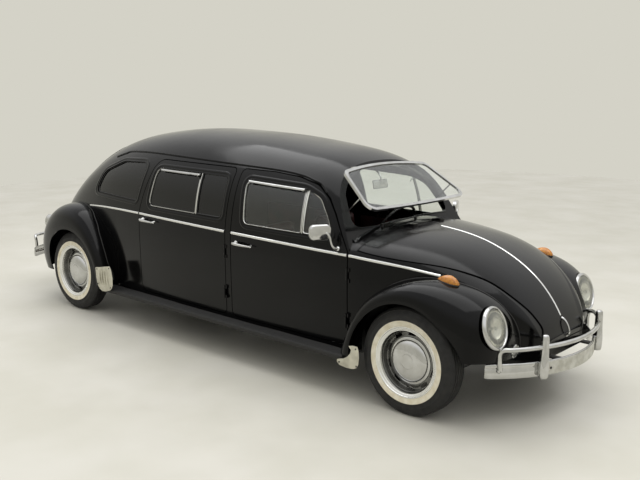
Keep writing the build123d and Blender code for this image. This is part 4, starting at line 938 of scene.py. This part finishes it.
def bumper(end, bow, blade_z, sign):
    """Blade, rail with its feet, and overriders of one bumper; sign is -1 at the nose and 1 at the tail."""
    low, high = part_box(end + "_bumper")
    front = ((low if sign < 0 else high).y - FRONT_AXLE) / MM
    radius = (BOW_HALF ** 2 + bow ** 2) / (2 * bow)
    middle_z = sum(blade_z) / 2

    def arc(x, back):
        """How far along the car the blade's curve lies, set back from its face."""
        return front - sign * (radius - math.sqrt((radius - back) ** 2 - x * x))

    def along_blade(xs, back, z):
        """Places and normals along the blade at one height."""
        places = [at(x, arc(x, back), z) for x in xs]
        normals = [Vector((x, sign * math.sqrt((radius - back) ** 2 - x * x), 0)).normalized() for x in xs]
        return places, normals

    run = [*range(-BLADE_HALF, -576, 4), *range(-576, 577, 24), *range(580, BLADE_HALF + 1, 4)]
    run = [sign * x for x in run]
    places, normals = along_blade(run, 24, middle_z)
    blade = strip(places, normals, BLADE_SECTION)
    for vertex in blade.data.vertices:
        short = max(0.0, (abs(vertex.co.x) / MM - (BLADE_HALF - 30)) / 30)
        squeeze = 1 - 0.22 * (1 - math.sqrt(max(0.0, 1 - short ** 2)))
        vertex.co.z = middle_z * MM + (vertex.co.z - middle_z * MM) * squeeze
    modify(blade, "BEVEL", width=1.5 * MM, segments=2, limit_method="ANGLE", angle_limit=math.radians(40))
    done(blade, f"{end}_bumper_blade", chrome, stands_for=[end + "_bumper"])

    rail_z = blade_z[1] + RAIL_RISE
    sweep_back = bow * 0.69
    rail_radius = (RAIL_BOW_HALF ** 2 + sweep_back ** 2) / (2 * sweep_back)

    def rail_at(x):
        """A place on the bowed rail above the blade."""
        return at(x, front - sign * (13 + rail_radius - math.sqrt(rail_radius ** 2 - x * x)), rail_z)

    bends = [at(556, arc(556, 4), rail_z - 1), at(562, arc(562, 14), rail_z - 22),
             at(556, arc(554, 20), blade_z[1] + 20), at(552, arc(552, 17), blade_z[1] - 34)]
    bends = [rail_at(500), rail_at(536)] + bends
    rail = [Vector((-p.x, p.y, p.z)) for p in reversed(bends)]
    rail += [rail_at(x) for x in range(-440, 441, 110)] + bends
    done(bar(rail, 13, sides=5), f"{end}_bumper_rail", chrome, 60)
    for side, hand in SIDES:
        foot = at(side * 552, arc(552, 20), blade_z[1] - 36)
        out = Vector((0, sign, 0))
        flange = turned([(0.5, 5), (9, 5), (12, 3), (16, 1), (16, -4)], 28, aimed(foot, out))
        done(flange, f"{end}_rail_foot_{hand}", chrome)

    for side, hand in SIDES:
        x = side * OVERRIDER_OUT
        y = arc(OVERRIDER_OUT, 0) - sign * 7
        base = blade_z[0]
        horn = column([(x, y, base - 6, 14, 12), (x, y, base - 4, 24, 21), (x, y, base + 8, 29, 27),
                       (x, y, base + 40, 30, 29), (x, y, base + 84, 28, 29), (x, y, base + 112, 24, 26),
                       (x, y, base + 150, 22.5, 23), (x, y, base + 200, 23, 22),
                       (x, y, base + 228, 23.5, 21),
                       (x, y + sign * 1, base + 240, 19, 17), (x, y + sign * 1, base + 245, 11, 10)])
        modify(horn, "SUBSURF", levels=2, render_levels=2)
        for vertex in horn.data.vertices:
            off = (vertex.co.x / MM - x)
            ahead = sign * (vertex.co.y - at(0, y, 0).y) / MM
            if ahead > 0:
                vertex.co.y += sign * MM * 3.5 * math.exp(-(off / 5) ** 2) * min(1, ahead / 15)
        done(horn, f"{end}_overrider_{hand}", chrome, 50)
    return arc, along_blade


front_arc, on_front_blade = bumper("front", 265, (296, 382), -1)
rear_arc, _ = bumper("rear", 165, (302, 388), 1)

places, normals = on_front_blade([-x for x in range(-312, 313, 24)], 24, PLATE_HEIGHT)
done(strip(places, normals, PLATE_SECTION), "front_plate", plate_paint, 30)
for side, hand in SIDES:
    where = at(side * 286, front_arc(286, 21), PLATE_HEIGHT)
    bolt = turned([(7, -4), (7, 2), (5.5, 4), (1.6, 4.6), (1.3, 3.4), (0.4, 3.4)], 18,
                  aimed(where, (0, -1, 0)))
    done(bolt, f"front_plate_bolt_{hand}", satin_black, 30)
    inner, outer = side * IRON_OUT - IRON_HALF, side * IRON_OUT + IRON_HALF
    iron = rounded_block(at(inner, front_arc(IRON_OUT, 36), 366), at(outer, -618, 380), 2)
    done(iron, f"front_bumper_iron_{hand}", chassis_paint, 30)
    iron = rounded_block(at(inner, WHEELBASE + 716, 403), at(outer, rear_arc(IRON_OUT, 34), 419), 2)
    done(iron, f"rear_bumper_iron_{hand}", chassis_paint, 30)
    iron = rounded_block(at(inner, rear_arc(IRON_OUT, 52), 342), at(outer, rear_arc(IRON_OUT, 38), 418), 2)
    done(iron, f"rear_bumper_drop_{hand}", chassis_paint, 30)


# ---- stone guards and running boards
def guard(name, outline, side, x, screws, ribs=()):
    """A sheet aluminium guard cut to a side-view outline, bent inwards along its leading edge."""
    rest_all()
    bpy.ops.mesh.primitive_circle_add(vertices=len(outline), radius=0.1, fill_type="NGON")
    piece = bpy.context.object
    for vertex, (y, z) in zip(piece.data.vertices, outline):
        vertex.co = at(side * x, y, z)
    work_all(piece, "FACE")
    bpy.ops.mesh.inset(thickness=0.004, depth=0.0)
    bpy.ops.transform.translate(value=(side * 1.4 * MM, 0, 0))
    rest_all()
    modify(piece, "SOLIDIFY", thickness=2.4 * MM, offset=0)
    modify(piece, "BEVEL", width=0.7 * MM, segments=2, limit_method="ANGLE", angle_limit=math.radians(35))
    parts = []
    for (y0, z0), (y1, z1) in ribs:
        parts.append(bar([at(side * x, y0, z0), at(side * (x + 5), (2 * y0 + y1) / 3, (2 * z0 + z1) / 3),
                          at(side * (x + 5), (y0 + 2 * y1) / 3, (z0 + 2 * z1) / 3), at(side * x, y1, z1)], 8,
                          sides=3))
    done(joined(outward(piece), *parts), name, guard_metal)
    heads = []
    for y, z in screws:
        heads.append(turned([(5.5, -2), (5.5, 2.2), (4, 3.8), (1, 4.2), (0.8, 3), (0.4, 3)], 16,
                            aimed(at(side * (x + 1), y, z), (side, 0, 0))))
    done(joined(*heads), name + "_screws", satin_black, 30)


FRONT_GUARD = [(384, 338), (350, 346), (318, 346), (308, 322), (304, 280), (308, 238), (322, 214),
               (350, 203), (400, 200), (452, 206), (472, 222), (470, 238), (452, 244), (420, 252),
               (392, 270), (370, 296), (366, 316)]
REAR_GUARD = [(2918, 414), (2860, 424), (2790, 438), (2733, 449), (2712, 420), (2698, 362), (2698, 306),
              (2712, 276), (2736, 258), (2790, 242), (2834, 238), (2866, 252), (2892, 278), (2908, 330),
              (2914, 372)]
MAT_RIBS = 11
mat_section = [(-46, -1)]
for i in range(MAT_RIBS):
    start = -46 + i * 92 / MAT_RIBS
    mat_section += [(start + 0.8, 1.2), (start + 2, 2.8), (start + 5, 2.8), (start + 6.4, 1.2)]
mat_section += [(46, 1.2), (46, -1)]
for side, hand in SIDES:
    guard(f"stone_guard_front_{hand}", FRONT_GUARD, side, 757, [(330, 330), (322, 226), (452, 224)])
    guard(f"stone_guard_rear_{hand}", REAR_GUARD, side, 768,
          [(2896, 404), (2740, 432), (2886, 290), (2726, 282)],
          [((2868 - i * 32, 404), (2852 - i * 32, 290)) for i in range(4)])
    run = [at(side * 693, y, 264) for y in range(452, 2856, 60)]
    mat = strip(run, [Vector((0, 0, 1))] * len(run), mat_section)
    done(mat, f"running_board_mat_{hand}", rubber, 30)
    run = [at(side * 748, y, 249) for y in range(448, 2860, 60)]
    edge = strip(run, [Vector((side, 0, 0))] * len(run),
                 [(-9, -1), (-8, 1.6), (-4, 2.6), (4, 2.6), (8, 1.6), (9, -1)])
    done(edge, f"running_board_edge_{hand}", rubber)


# ---- door handles and mirrors
for side, hand in SIDES:
    for end, rear_y, z in (("front", 1446, 800), ("rear", 2454, 836)):
        skin_tree = door_skin[end, hand]
        places, normals = on_side(skin_tree, side, [(rear_y - 14, z), (rear_y - 176, z)])
        post, tail = places
        out = normals[0]
        lever = bar([post + out * 0.012 + Vector((0, 0.016, 0.002)),
                     post + out * 0.03 + Vector((0, 0.004, 0.002)),
                     post + out * 0.036 + Vector((0, -0.03, 0)),
                     post + out * 0.034 + Vector((0, -0.09, -0.002)),
                     tail + out * 0.03 + Vector((0, 0.03, -0.002)),
                     tail + out * 0.024 + Vector((0, -0.008, -0.004))],
                    9.5, [0.9, 1.25, 1.15, 0.85, 0.7, 0.45])
        boss = turned([(17, -3), (17, 3), (13.5, 6), (10, 9), (9, 30), (6, 34), (0.5, 35)], 32,
                      aimed(post, out))
        toe = turned([(8, -3), (8, 2), (6, 5), (4.5, 22), (3, 26), (0.5, 26)], 24,
                     aimed(tail + Vector((0, 0.02, 0)), out))
        lock = turned([(5, 30), (5, 37), (4, 38), (0.5, 38)], 20, aimed(post, out))
        done(joined(lever, boss, toe, lock), f"door_handle_{end}_{hand}", chrome, 50,
             f"passenger_door_{end}_{hand}", [f"door_fittings_{end}_{hand}"])
    out = Vector((side * math.sin(math.radians(25)), -math.cos(math.radians(25)), 0))
    placing = aimed(at(side * 742, 640, 985), out)
    rest_all()
    bpy.ops.mesh.primitive_cube_add(size=0.12)
    head = bpy.context.object
    work_all(head)
    bpy.ops.transform.resize(value=(70 / 60, 48 / 60, 12 / 60))
    bpy.ops.transform.translate(value=(0, 0, 0.012))
    pick(head, "EDGE", lambda c, n: abs(abs(c.x) - 0.07) < 0.001 and abs(abs(c.y) - 0.048) < 0.001)
    bpy.ops.mesh.bevel(offset=0.034, segments=8, affect="EDGES")
    pick(head, "FACE", lambda c, n: n.z > 0.9)
    bpy.ops.mesh.inset(thickness=0.008, depth=0.0)
    bpy.ops.transform.translate(value=(0, 0, 0.004))
    pick(head, "EDGE", lambda c, n: abs(c.z - 0.024) < 0.001)
    bpy.ops.mesh.bevel(offset=0.007, segments=4, affect="EDGES")
    pick(head, "FACE", lambda c, n: n.z < -0.9)
    bpy.ops.mesh.inset(thickness=0.004, depth=-0.0015)
    rest_all()
    head.data.transform(placing)
    body = f"passenger_door_front_{hand}"
    stalk = bar([at(side * 736, 622, 992), at(side * 722, 604, 984), at(side * 706, 588, 962),
                 at(side * 700, 582, 922), at(side * 690, 576, 892), at(side * 664, 568, 880)],
                6.2, [1.2, 1, 1, 1, 1.1, 1.5], sides=5)
    collar = turned([(10, -4), (10, 3), (8, 6), (8, 16), (5, 19), (0.5, 19)], 24,
                    aimed(at(side * 738, 630, 994), out))
    clamp_at, clamp_out = touch(door_skin["front", hand], at(side * OUTSIDE, 570, 880), (-side, 0, 0))
    clamp = turned([(15, -4), (15, 3), (12, 7), (7, 11), (0.5, 12)], 28, aimed(clamp_at, clamp_out))
    done(head, f"door_mirror_{hand}", chrome, body=body)
    done(joined(stalk, collar, clamp), f"door_mirror_arm_{hand}", chrome, 50, body=body)


# ---- cabin linings
# How far a lining is thrown before it counts as lost, in metres.
LINING_REACH = 0.9


def lining(name, target, low, high, axis, material, thickness, step=60, body="car_body"):
    """A sheet laid against the inside of a CAD node, thrown onto it along one axis from inside."""
    rest_all()
    free = [i for i in range(3) if axis[i] == 0]
    spans = [high[i] - low[i] for i in free]
    bpy.ops.mesh.primitive_grid_add(x_subdivisions=max(2, round(spans[0] / step)),
                                    y_subdivisions=max(2, round(spans[1] / step)), size=1)
    piece = bpy.context.object
    fixed = 3 - sum(free)
    for vertex in piece.data.vertices:
        share = (vertex.co.x + 0.5, vertex.co.y + 0.5)
        spot = [0, 0, 0]
        spot[free[0]] = low[free[0]] + share[0] * spans[0]
        spot[free[1]] = low[free[1]] + share[1] * spans[1]
        spot[fixed] = low[fixed]
        vertex.co = at(*spot)
    tree = skin(target)
    lost = []
    for vertex in piece.data.vertices:
        where, normal = touch(tree, vertex.co, axis)
        if where is None or (where - vertex.co).length > LINING_REACH:
            lost.append(vertex.index)
        else:
            vertex.co = where - Vector(axis) * (thickness + 1) * MM
    work(piece, "VERT")
    bpy.ops.object.mode_set(mode="OBJECT")
    for index in lost:
        piece.data.vertices[index].select = True
    bpy.ops.object.mode_set(mode="EDIT")
    if lost:
        bpy.ops.mesh.delete(type="VERT")
    rest_all()
    modify(piece, "SOLIDIFY", thickness=thickness * MM, offset=0)
    done(piece, name, material, body=body)


lining("headlining", "roof_panel", (-480, 1080, 1050), (480, 2880, 1050), (0, 0, 1), headlining, 5)
for side, hand in SIDES:
    near, far = (150, 600) if side > 0 else (-600, -150)
    for end, ahead, behind in (("front", 520, 1560), ("rear", 1570, 2380)):
        lining(f"carpet_{end}_{hand}", "floor_pan", (near, ahead, 700), (far, behind, 700), (0, 0, -1),
               carpet, 6)
    for end, (near, far) in (("front", (560, 1410)), ("rear", (1580, 2400))):
        body = f"passenger_door_{end}_{hand}"
        lining(f"door_card_{end}_{hand}", f"door_{end}_{hand}", (side * 300, near, 350),
               (side * 300, far, 850), (side, 0, 0), leather, 4, 50, body)
        tree = door_skin[end, hand]
        grip_y = far - 250
        where, normal = touch(tree, at(side * 300, grip_y, 640), (side, 0, 0))
        inward = Vector((-side, 0, 0))
        pull = bar([where, where + inward * 0.05 + Vector((0, 0.012, 0)),
                    where + inward * 0.054 + Vector((0, 0.09, 0)),
                    where + inward * 0.05 + Vector((0, 0.17, 0)), where + Vector((0, 0.18, 0))], 10, sides=4)
        done(pull, f"door_pull_{end}_{hand}", wheel_plastic, 60, body=body)
        hub, normal = touch(tree, at(side * 300, grip_y - 150, 600), (side, 0, 0))
        winder = joined(turned([(22, 0), (22, 6), (16, 10), (11, 18), (0.5, 19)], 28, aimed(hub, inward)),
                        bar([hub + inward * 0.014, hub + inward * 0.022 + Vector((0, 0.03, -0.03)),
                             hub + inward * 0.026 + Vector((0, 0.07, -0.07))], 6, [1.3, 1, 0.8]),
                        turned([(10, 0), (12, 6), (11, 26), (7, 31), (0.5, 32)], 20,
                               aimed(hub + inward * 0.026 + Vector((0, 0.07, -0.07)), inward)))
        done(winder, f"window_winder_{end}_{hand}", chrome, body=body)


# ---- seats
STUFFING_CAP = 14
STUFFING_PRESSURE, STUFFING_FRAMES = 4, 20
VOXEL = 10
CHANNEL_PITCH, CHANNEL_DEPTH = 62, 7


def stuffed(piece):
    """Remeshed, blown up by cloth pressure, capped, then smoothed."""
    modify(piece, "REMESH", mode="VOXEL", voxel_size=VOXEL * MM)
    before = [vertex.co.copy() for vertex in piece.data.vertices]
    take(piece)
    stuffing = piece.modifiers.new("stuffing", "CLOTH")
    stuffing.settings.use_pressure = True
    stuffing.settings.uniform_pressure_force = STUFFING_PRESSURE
    stuffing.settings.effector_weights.gravity = 0
    stuffing.point_cache.frame_start = 1
    stuffing.point_cache.frame_end = STUFFING_FRAMES
    for moment in range(1, STUFFING_FRAMES + 1):
        scene.frame_set(moment)
    bpy.ops.object.modifier_apply(modifier=stuffing.name)
    scene.frame_set(1)
    for vertex, start in zip(piece.data.vertices, before):
        move = vertex.co - start
        if move.length > STUFFING_CAP * MM:
            vertex.co = start + move.normalized() * STUFFING_CAP * MM
    return modify(piece, "SUBSURF", levels=1, render_levels=1)


def channelled(piece, middle_x, half, face, low, high):
    """Sewn channels pressed into the face of a pad; face 2 is its top and 1 its front."""
    sign = 1 if face == 2 else -1
    facings = [vertex.normal[face] * sign > 0.5 for vertex in piece.data.vertices]
    for vertex, facing in zip(piece.data.vertices, facings):
        x, y, z = vertex.co
        along = (y if face == 2 else z) / MM
        off = x / MM - middle_x
        if facing and abs(off) < half and low < along < high:
            ends = min(1.0, (half - abs(off)) / 12, (along - low) / 14, (high - along) / 14)
            phase = (off / CHANNEL_PITCH) % 1
            groove = math.exp(-((min(phase, 1 - phase) * CHANNEL_PITCH) / 5) ** 2)
            vertex.co[face] -= CHANNEL_DEPTH * MM * groove * ends * sign


def leaned(piece, y, z, angle):
    """Tipped backwards about a line across the car."""
    hinge = at(0, y, z)
    turn = Matrix.Rotation(-angle, 4, "X")
    piece.data.transform(Matrix.Translation(hinge) @ turn @ Matrix.Translation(-hinge))


def seat(name, near, far, front, pan_z, depth, height, standing, on_runner):
    """A cushion and a leaning backrest with sewn channels and welts."""
    mid, half = (near + far) / 2, (far - near) / 2
    lean = math.atan2(80, height - 105)
    cushion = rounded_block(at(near + 12, front + 6, pan_z + 8),
                            at(far - 12, front + depth - 96, pan_z + 104), 34, 4)
    stuffed(cushion)
    origin = at(0, front, pan_z)
    channelled(cushion, mid, half - 70, 2, origin.y / MM + 50, origin.y / MM + depth - 140)
    for vertex in cushion.data.vertices:
        ahead = 1 - min(1.0, max(0.0, (vertex.co.y - origin.y) / ((depth - 90) * MM)))
        if vertex.co.z > origin.z + 0.05:
            vertex.co.z += 0.012 * ahead
    done(cushion, name + "_cushion", leather, 60, stands_for=standing)
    foot_y, foot_z = front + depth - 92, pan_z + 74
    back = rounded_block(at(near + 12, foot_y + 6, foot_z), at(far - 12, foot_y + 88, foot_z + height - 88),
                         38, 4)
    stuffed(back)
    channelled(back, mid, half - 70, 1, foot_z + 60, foot_z + height - 150)
    leaned(back, foot_y, foot_z, lean)
    done(back, name + "_backrest", leather, 60)
    inset = half - 40
    loop = [(mid - inset, front + 34), (mid + inset, front + 34), (mid + inset, front + depth - 130),
            (mid - inset, front + depth - 130)]
    ring = evened(rounded(loop, [40] * 4), 30)
    cushion_top = [at(x, y, pan_z + 118 + 12 * (1 - (y - front) / depth)) for x, y in ring]
    done(bar(cushion_top + cushion_top[:2], 4, sides=3), name + "_cushion_welt", leather, 60)
    if on_runner:
        foot = turned([(15, -4), (15, 60), (12, 64), (0.5, 64)], 16,
                      aimed(at(mid, front + 60, pan_z - 70), (0, 0, 1)))
        done(foot, name + "_runner", chassis_paint)


seat("front_seat_left", 112, 566, 900, 330, 500, 600, ["front_seats"], True)
seat("front_seat_right", -566, -112, 900, 330, 500, 600, [], True)
seat("rear_seat", -516, 516, WHEELBASE - 930, 330, 520, 560, ["rear_seat"], False)


# ---- steering wheel, dash and controls
WHEEL_HUB = at(338, 880, 850)
TOWARD_DRIVER = Vector((0, 414, 260)).normalized()
ring_placing = aimed(WHEEL_HUB, TOWARD_DRIVER)
grip = [(198 + 11 * math.cos(i * math.tau / 12), 10 * math.sin(i * math.tau / 12)) for i in range(13)]
rim = turned(grip, 96, ring_placing)
boss = turned([(16, -90), (24, -60), (40, -24), (44, -8), (42, 2), (34, 8), (0.5, 9)], 48, ring_placing)
arms = []
for side, hand in SIDES:
    for drop in (-10, 10):
        arms.append(bar(placed(ring_placing, (side * 0.03, drop * 0.0008, -0.006),
                               (side * 0.11, drop * 0.0011, -0.016), (side * 0.193, drop * 0.0014, 0)), 6.5,
                               [1.4, 1, 0.9], sides=4))
column_foot = WHEEL_HUB - TOWARD_DRIVER * 0.487
tube = bar([WHEEL_HUB - TOWARD_DRIVER * 0.05, WHEEL_HUB - TOWARD_DRIVER * 0.25, column_foot], 20)
done(joined(rim, boss, *arms), "steering_wheel_rim", wheel_plastic, 45, stands_for=["steering_wheel"])
done(tube, "steering_column", chassis_paint, 45)
horn_button = turned([(28, 6), (27, 12), (22, 16), (10, 18.5), (0.5, 19)], 40, ring_placing)
horn_ring = bar([ring_placing @ Vector((0.118 * math.cos(a), 0.118 * math.sin(a), 0.004))
                 for a in (math.pi + i * math.pi / 14 for i in range(15))], 3.6, sides=4)
struts = [bar(placed(ring_placing, (side * 0.026, 0, 0.01), (side * 0.07, 0, 0.002),
                     (side * 0.118, 0, 0.004)), 4) for side in (1, -1)]
done(joined(horn_button, horn_ring, *struts), "horn_ring", chrome, 45)
stalk = bar([WHEEL_HUB - TOWARD_DRIVER * 0.07 + Vector((0.02, 0, 0)),
             WHEEL_HUB + Vector((0.1, -0.05, -0.005)),
             WHEEL_HUB + Vector((0.165, -0.04, 0.01))], 4, [1.4, 1, 1.6])
done(stalk, "signal_stalk", chrome, 45)

DASH_FACE = 543
gauge = aimed(at(338, DASH_FACE, 892), (0, 1, 0.12))
bezel = turned([(62, -6), (64, 2), (61, 9), (57, 11), (54, 8), (53, 1)], 56, gauge)
done(bezel, "speedometer_bezel", chrome)
done(turned([(54, 1), (40, 2), (0.5, 2.4)], 48, gauge), "speedometer_face", dial_face, 30)
marks = [bar(placed(gauge, (0.047 * math.cos(a), 0.047 * math.sin(a), 0.0032),
                    (0.04 * math.cos(a), 0.04 * math.sin(a), 0.0032)), 1, sides=1)
         for a in (math.radians(-50 + 280 * i / 14) for i in range(15))]
needle = bar(placed(gauge, (0, 0, 0.004), (-0.03, -0.018, 0.004)), 1.3, [1.6, 0.6], sides=2)
done(joined(needle, *marks), "speedometer_marks", ivory, 30)
slats = [rounded_block(at(-92, DASH_FACE - 2, 842 + i * 14), at(92, DASH_FACE + 6, 850 + i * 14), 2.5, 2)
         for i in range(7)]
done(joined(*slats), "loudspeaker_slats", chrome)
glovebox = rounded_block(at(-480, DASH_FACE - 4, 832), at(-180, DASH_FACE + 7, 936), 10, 3)
done(glovebox, "glovebox_lid", enamel)
knob_places = [(160, 880), (160, 916), (470, 880), (470, 916), (-330, 884)]
knobs = [turned([(5, -2), (5, 12), (11, 14), (13, 19), (11, 25), (5, 28), (0.5, 28.4)], 24,
                aimed(at(x, DASH_FACE, z), (0, 1, 0))) for x, z in knob_places]
done(joined(*knobs), "dash_knobs", ivory, 45)
dash_strip = strip([at(x, DASH_FACE, 950) for x in range(-540, 541, 60)], [Vector((0, 1, 0))] * 19,
                   [(-5, -1), (-4, 2), (0, 3.4), (4, 2), (5, -1)])
done(dash_strip, "dash_strip", trim_metal)
lever = bar([at(0, 800, 340), at(0, 796, 430), at(0, 840, 540)], 7, [1.2, 1, 0.8])
knob = turned([(5, -6), (12, 2), (17, 14), (16, 24), (8, 31), (0.5, 32)], 28,
              aimed(at(0, 840, 538), (0, 0.4, 1)))
boot = turned([(46, -2), (44, 6), (28, 14), (20, 30), (13, 52), (9, 58)], 32,
              aimed(at(0, 800, 336), (0, 0, 1)))
done(lever, "gear_lever", chrome, 45)
done(knob, "gear_knob", ivory, 45)
done(boot, "gear_boot", rubber, 45)
brake = bar([at(0, 1180, 340), at(0, 1120, 392), at(0, 1000, 440), at(0, 968, 446)], 11, [0.8, 0.7, 1, 0.9])
done(brake, "hand_brake", satin_black, 45)

mirror_head = rounded_block(at(-76, 750, 1171), at(76, 764, 1229), 6, 4)
work_all(mirror_head)
bpy.ops.transform.rotate(value=math.radians(12), orient_axis="X", center_override=at(0, 757, 1200))
rest_all()
mirror_stem = bar([at(0, 752, 1205), at(0, 748, 1240), at(0, 770, 1268), at(0, 795, 1290)], 5,
                  [1.2, 1, 1, 1.6])
done(joined(mirror_head, mirror_stem), "interior_mirror", chrome)


# ---- tail: back window, louvres, lid fittings, exhaust
back_skin = skin("back_glass")
BACK_WINDOW = rounded([(-352, 1096), (-366, 1240), (-300, 1290), (0, 1300), (300, 1290), (366, 1240),
                       (352, 1096), (0, 1090)], [60, 90, 90, 900, 90, 90, 60, 900])
seal_line = on_tail(back_skin, evened(grown(BACK_WINDOW, -6), 18))
done(strip(*seal_line, SEAL, closed=True), "back_window_seal", rubber)
flange_line = on_tail(tail_skin, evened(grown(BACK_WINDOW, 17), 18))
done(strip(*flange_line, FLANGE, closed=True), "back_window_flange", enamel)

LOUVRES = 14
slots = []
for z in (1046, 1018):
    for i in range(LOUVRES):
        x = (i - (LOUVRES - 1) / 2) * 38
        where, normal = touch(tail_skin, at(x, BEHIND, z), (0, -1, 0))
        if where is not None:
            placing = aimed(where, normal)
            slot_hood = bar(placed(placing, (0.014, 0, -0.002), (0.011, 0.0008, 0.0042),
                                   (-0.011, 0.0008, 0.0042), (-0.014, 0, -0.002)), 4.6,
                       [0.5, 1, 1, 0.5], sides=3)
            slots.append(slot_hood)
done(joined(*slots), "air_louvres", enamel, 50)


def on_lid(x, z):
    """Where a rear-view point meets the engine lid, with the normal there."""
    return touch(lid_skin, at(x, BEHIND, z), (0, -1, 0))


grip_at, grip_out = on_lid(0, 640)
placing = aimed(grip_at, grip_out)
grip_bar = bar(placed(placing, (0, -0.034, 0), (0, -0.024, 0.026), (0, 0, 0.034), (0, 0.024, 0.026),
                      (0, 0.034, 0)), 6.5, [1.5, 1, 1.1, 1, 1.5])
plinth = turned([(24, -3), (24, 2), (20, 5), (0.5, 5.6)], 36, placing, (0.7, 1.7))
done(joined(grip_bar, plinth), "lid_handle", chrome, 45, body="rear_lid")
lamp_at, lamp_out = on_lid(0, 890)
placing = aimed(lamp_at, lamp_out)
shroud = rounded_block((-0.07, -0.03, -0.01), (0.07, 0.034, 0.034), 15, 5)
shroud.data.transform(placing)
done(shroud, "plate_lamp_shroud", enamel, 50, body="rear_lid")
window = rounded_block((-0.05, -0.036, 0.004), (0.05, -0.028, 0.026), 3, 2)
window.data.transform(placing)
done(window, "plate_lamp_window", lamp_glass, body="rear_lid")
plate_top, plate_out = on_lid(0, 846)
plate_foot, foot_out = on_lid(0, 736)
hold = (plate_out + foot_out).normalized()
placing = aimed((plate_top + plate_foot) / 2, hold)
blank = rounded_block((-0.15, -0.06, 0.012), (0.15, 0.06, 0.0145), 1, 1)
posts = [rounded_block((x - 0.006, y - 0.006, -0.02), (x + 0.006, y + 0.006, 0.0165), 2, 2)
         for x in (-0.12, 0.12) for y in (-0.045, 0.045)]
for part in (blank, *posts):
    part.data.transform(placing)
done(blank, "rear_plate", plate_paint, 30, body="rear_lid")
done(joined(*posts), "rear_plate_posts", satin_black, 30, body="rear_lid")

exhaust_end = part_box("exhaust")[1].y
for side, hand in SIDES:
    pipe = turned([(17, -60), (17.5, -6), (18.5, 0), (18.5, 2), (16.5, 2), (15, -4), (15, -58)], 40,
                  aimed(at(side * 150, 0, 262) + Vector((0, exhaust_end - FRONT_AXLE + 0.004, 0)),
                        (0, 1, 0)))
    done(pipe, f"tail_pipe_{hand}", chrome)


# ---- stage, light and camera
FLOOR_RADIUS = 7.8
FLOOR_CENTRE = (4.6, 1.6, 0)
CEILING_WATTS = 150
rest_all()
bpy.ops.mesh.primitive_circle_add(vertices=128, radius=FLOOR_RADIUS, fill_type="NGON",
                                  location=FLOOR_CENTRE)
floor = bpy.context.object
floor.name = "studio_floor"
# Painted studio floor: pale, a little uneven, with a soft sheen.
floor.data.materials.append(finish("painted_studio_floor", "C4C2B9", 0.5, (700, "C6C4BC", "BEBCB2", 1.0),
                                   (300, 0.4, 0.55)))

# The studio walls: pale to the eye and in gloss and glass, brighter overhead for what they light.
world = bpy.data.worlds.new("studio_walls")
scene.world = world
world.use_nodes = True
sky = world.node_tree
backing = sky.nodes["Background"]
height = node(sky, "ShaderNodeSeparateXYZ",
              {"Vector": node(sky, "ShaderNodeTexCoord").outputs["Generated"]}).outputs["Z"]
overhead = node(sky, "ShaderNodeMapRange", {"Value": height, "From Min": 0.03, "From Max": 0.6,
                                            "To Min": 0.1, "To Max": 1.35}).outputs["Result"]
lit = node(sky, "ShaderNodeVectorMath", {0: linear("FAF9F5")[:3], "Scale": overhead},
           operation="SCALE").outputs[0]
ray_kind = node(sky, "ShaderNodeLightPath").outputs
seen = ray_kind["Is Camera Ray"]
for ray in ("Is Glossy Ray", "Is Transmission Ray"):
    seen = node(sky, "ShaderNodeMath", {0: seen, 1: ray_kind[ray]}, operation="MAXIMUM").outputs[0]
above_head = node(sky, "ShaderNodeMapRange",
                  {"Value": height, "From Min": 0.15, "From Max": 0.6}).outputs["Result"]
pale = node(sky, "ShaderNodeMix", {0: above_head, 6: linear("D4D2C7"), 7: linear("FFFFFF")},
            data_type="RGBA").outputs[2]
walls = node(sky, "ShaderNodeMix", {0: seen, 6: lit, 7: pale}, data_type="RGBA",
             clamp_factor=True).outputs[2]
sky.links.new(walls, backing.inputs["Color"])

rest_all()
bpy.ops.object.light_add(type="AREA", location=(0, -0.4, 4.6))
ceiling = bpy.context.object
ceiling.name = "ceiling_softbox"
ceiling.data.shape = "RECTANGLE"
ceiling.data.size = 4.0
ceiling.data.size_y = 7.5
ceiling.data.energy = CEILING_WATTS

CAMERA_LENS = 47.97
CAMERA_PLACE = at(-4520, -2640, 1881)
CAMERA_YAW, CAMERA_PITCH, CAMERA_ROLL = (math.radians(a) for a in (49.09, 10.69, 0.95))
look = Vector((math.sin(CAMERA_YAW) * math.cos(CAMERA_PITCH),
               math.cos(CAMERA_YAW) * math.cos(CAMERA_PITCH), -math.sin(CAMERA_PITCH)))
level = Vector((math.cos(CAMERA_YAW), -math.sin(CAMERA_YAW), 0))
above = level.cross(look)
right = level * math.cos(CAMERA_ROLL) + above * math.sin(CAMERA_ROLL)
upright = above * math.cos(CAMERA_ROLL) - level * math.sin(CAMERA_ROLL)
view = Matrix((right, upright, -look)).transposed().to_4x4()
view.translation = CAMERA_PLACE
bpy.ops.object.camera_add()
camera = bpy.context.object
camera.name = "studio_camera"
camera.data.lens = CAMERA_LENS
camera.matrix_world = view
scene.camera = camera
scene.view_settings.view_transform = "Standard"
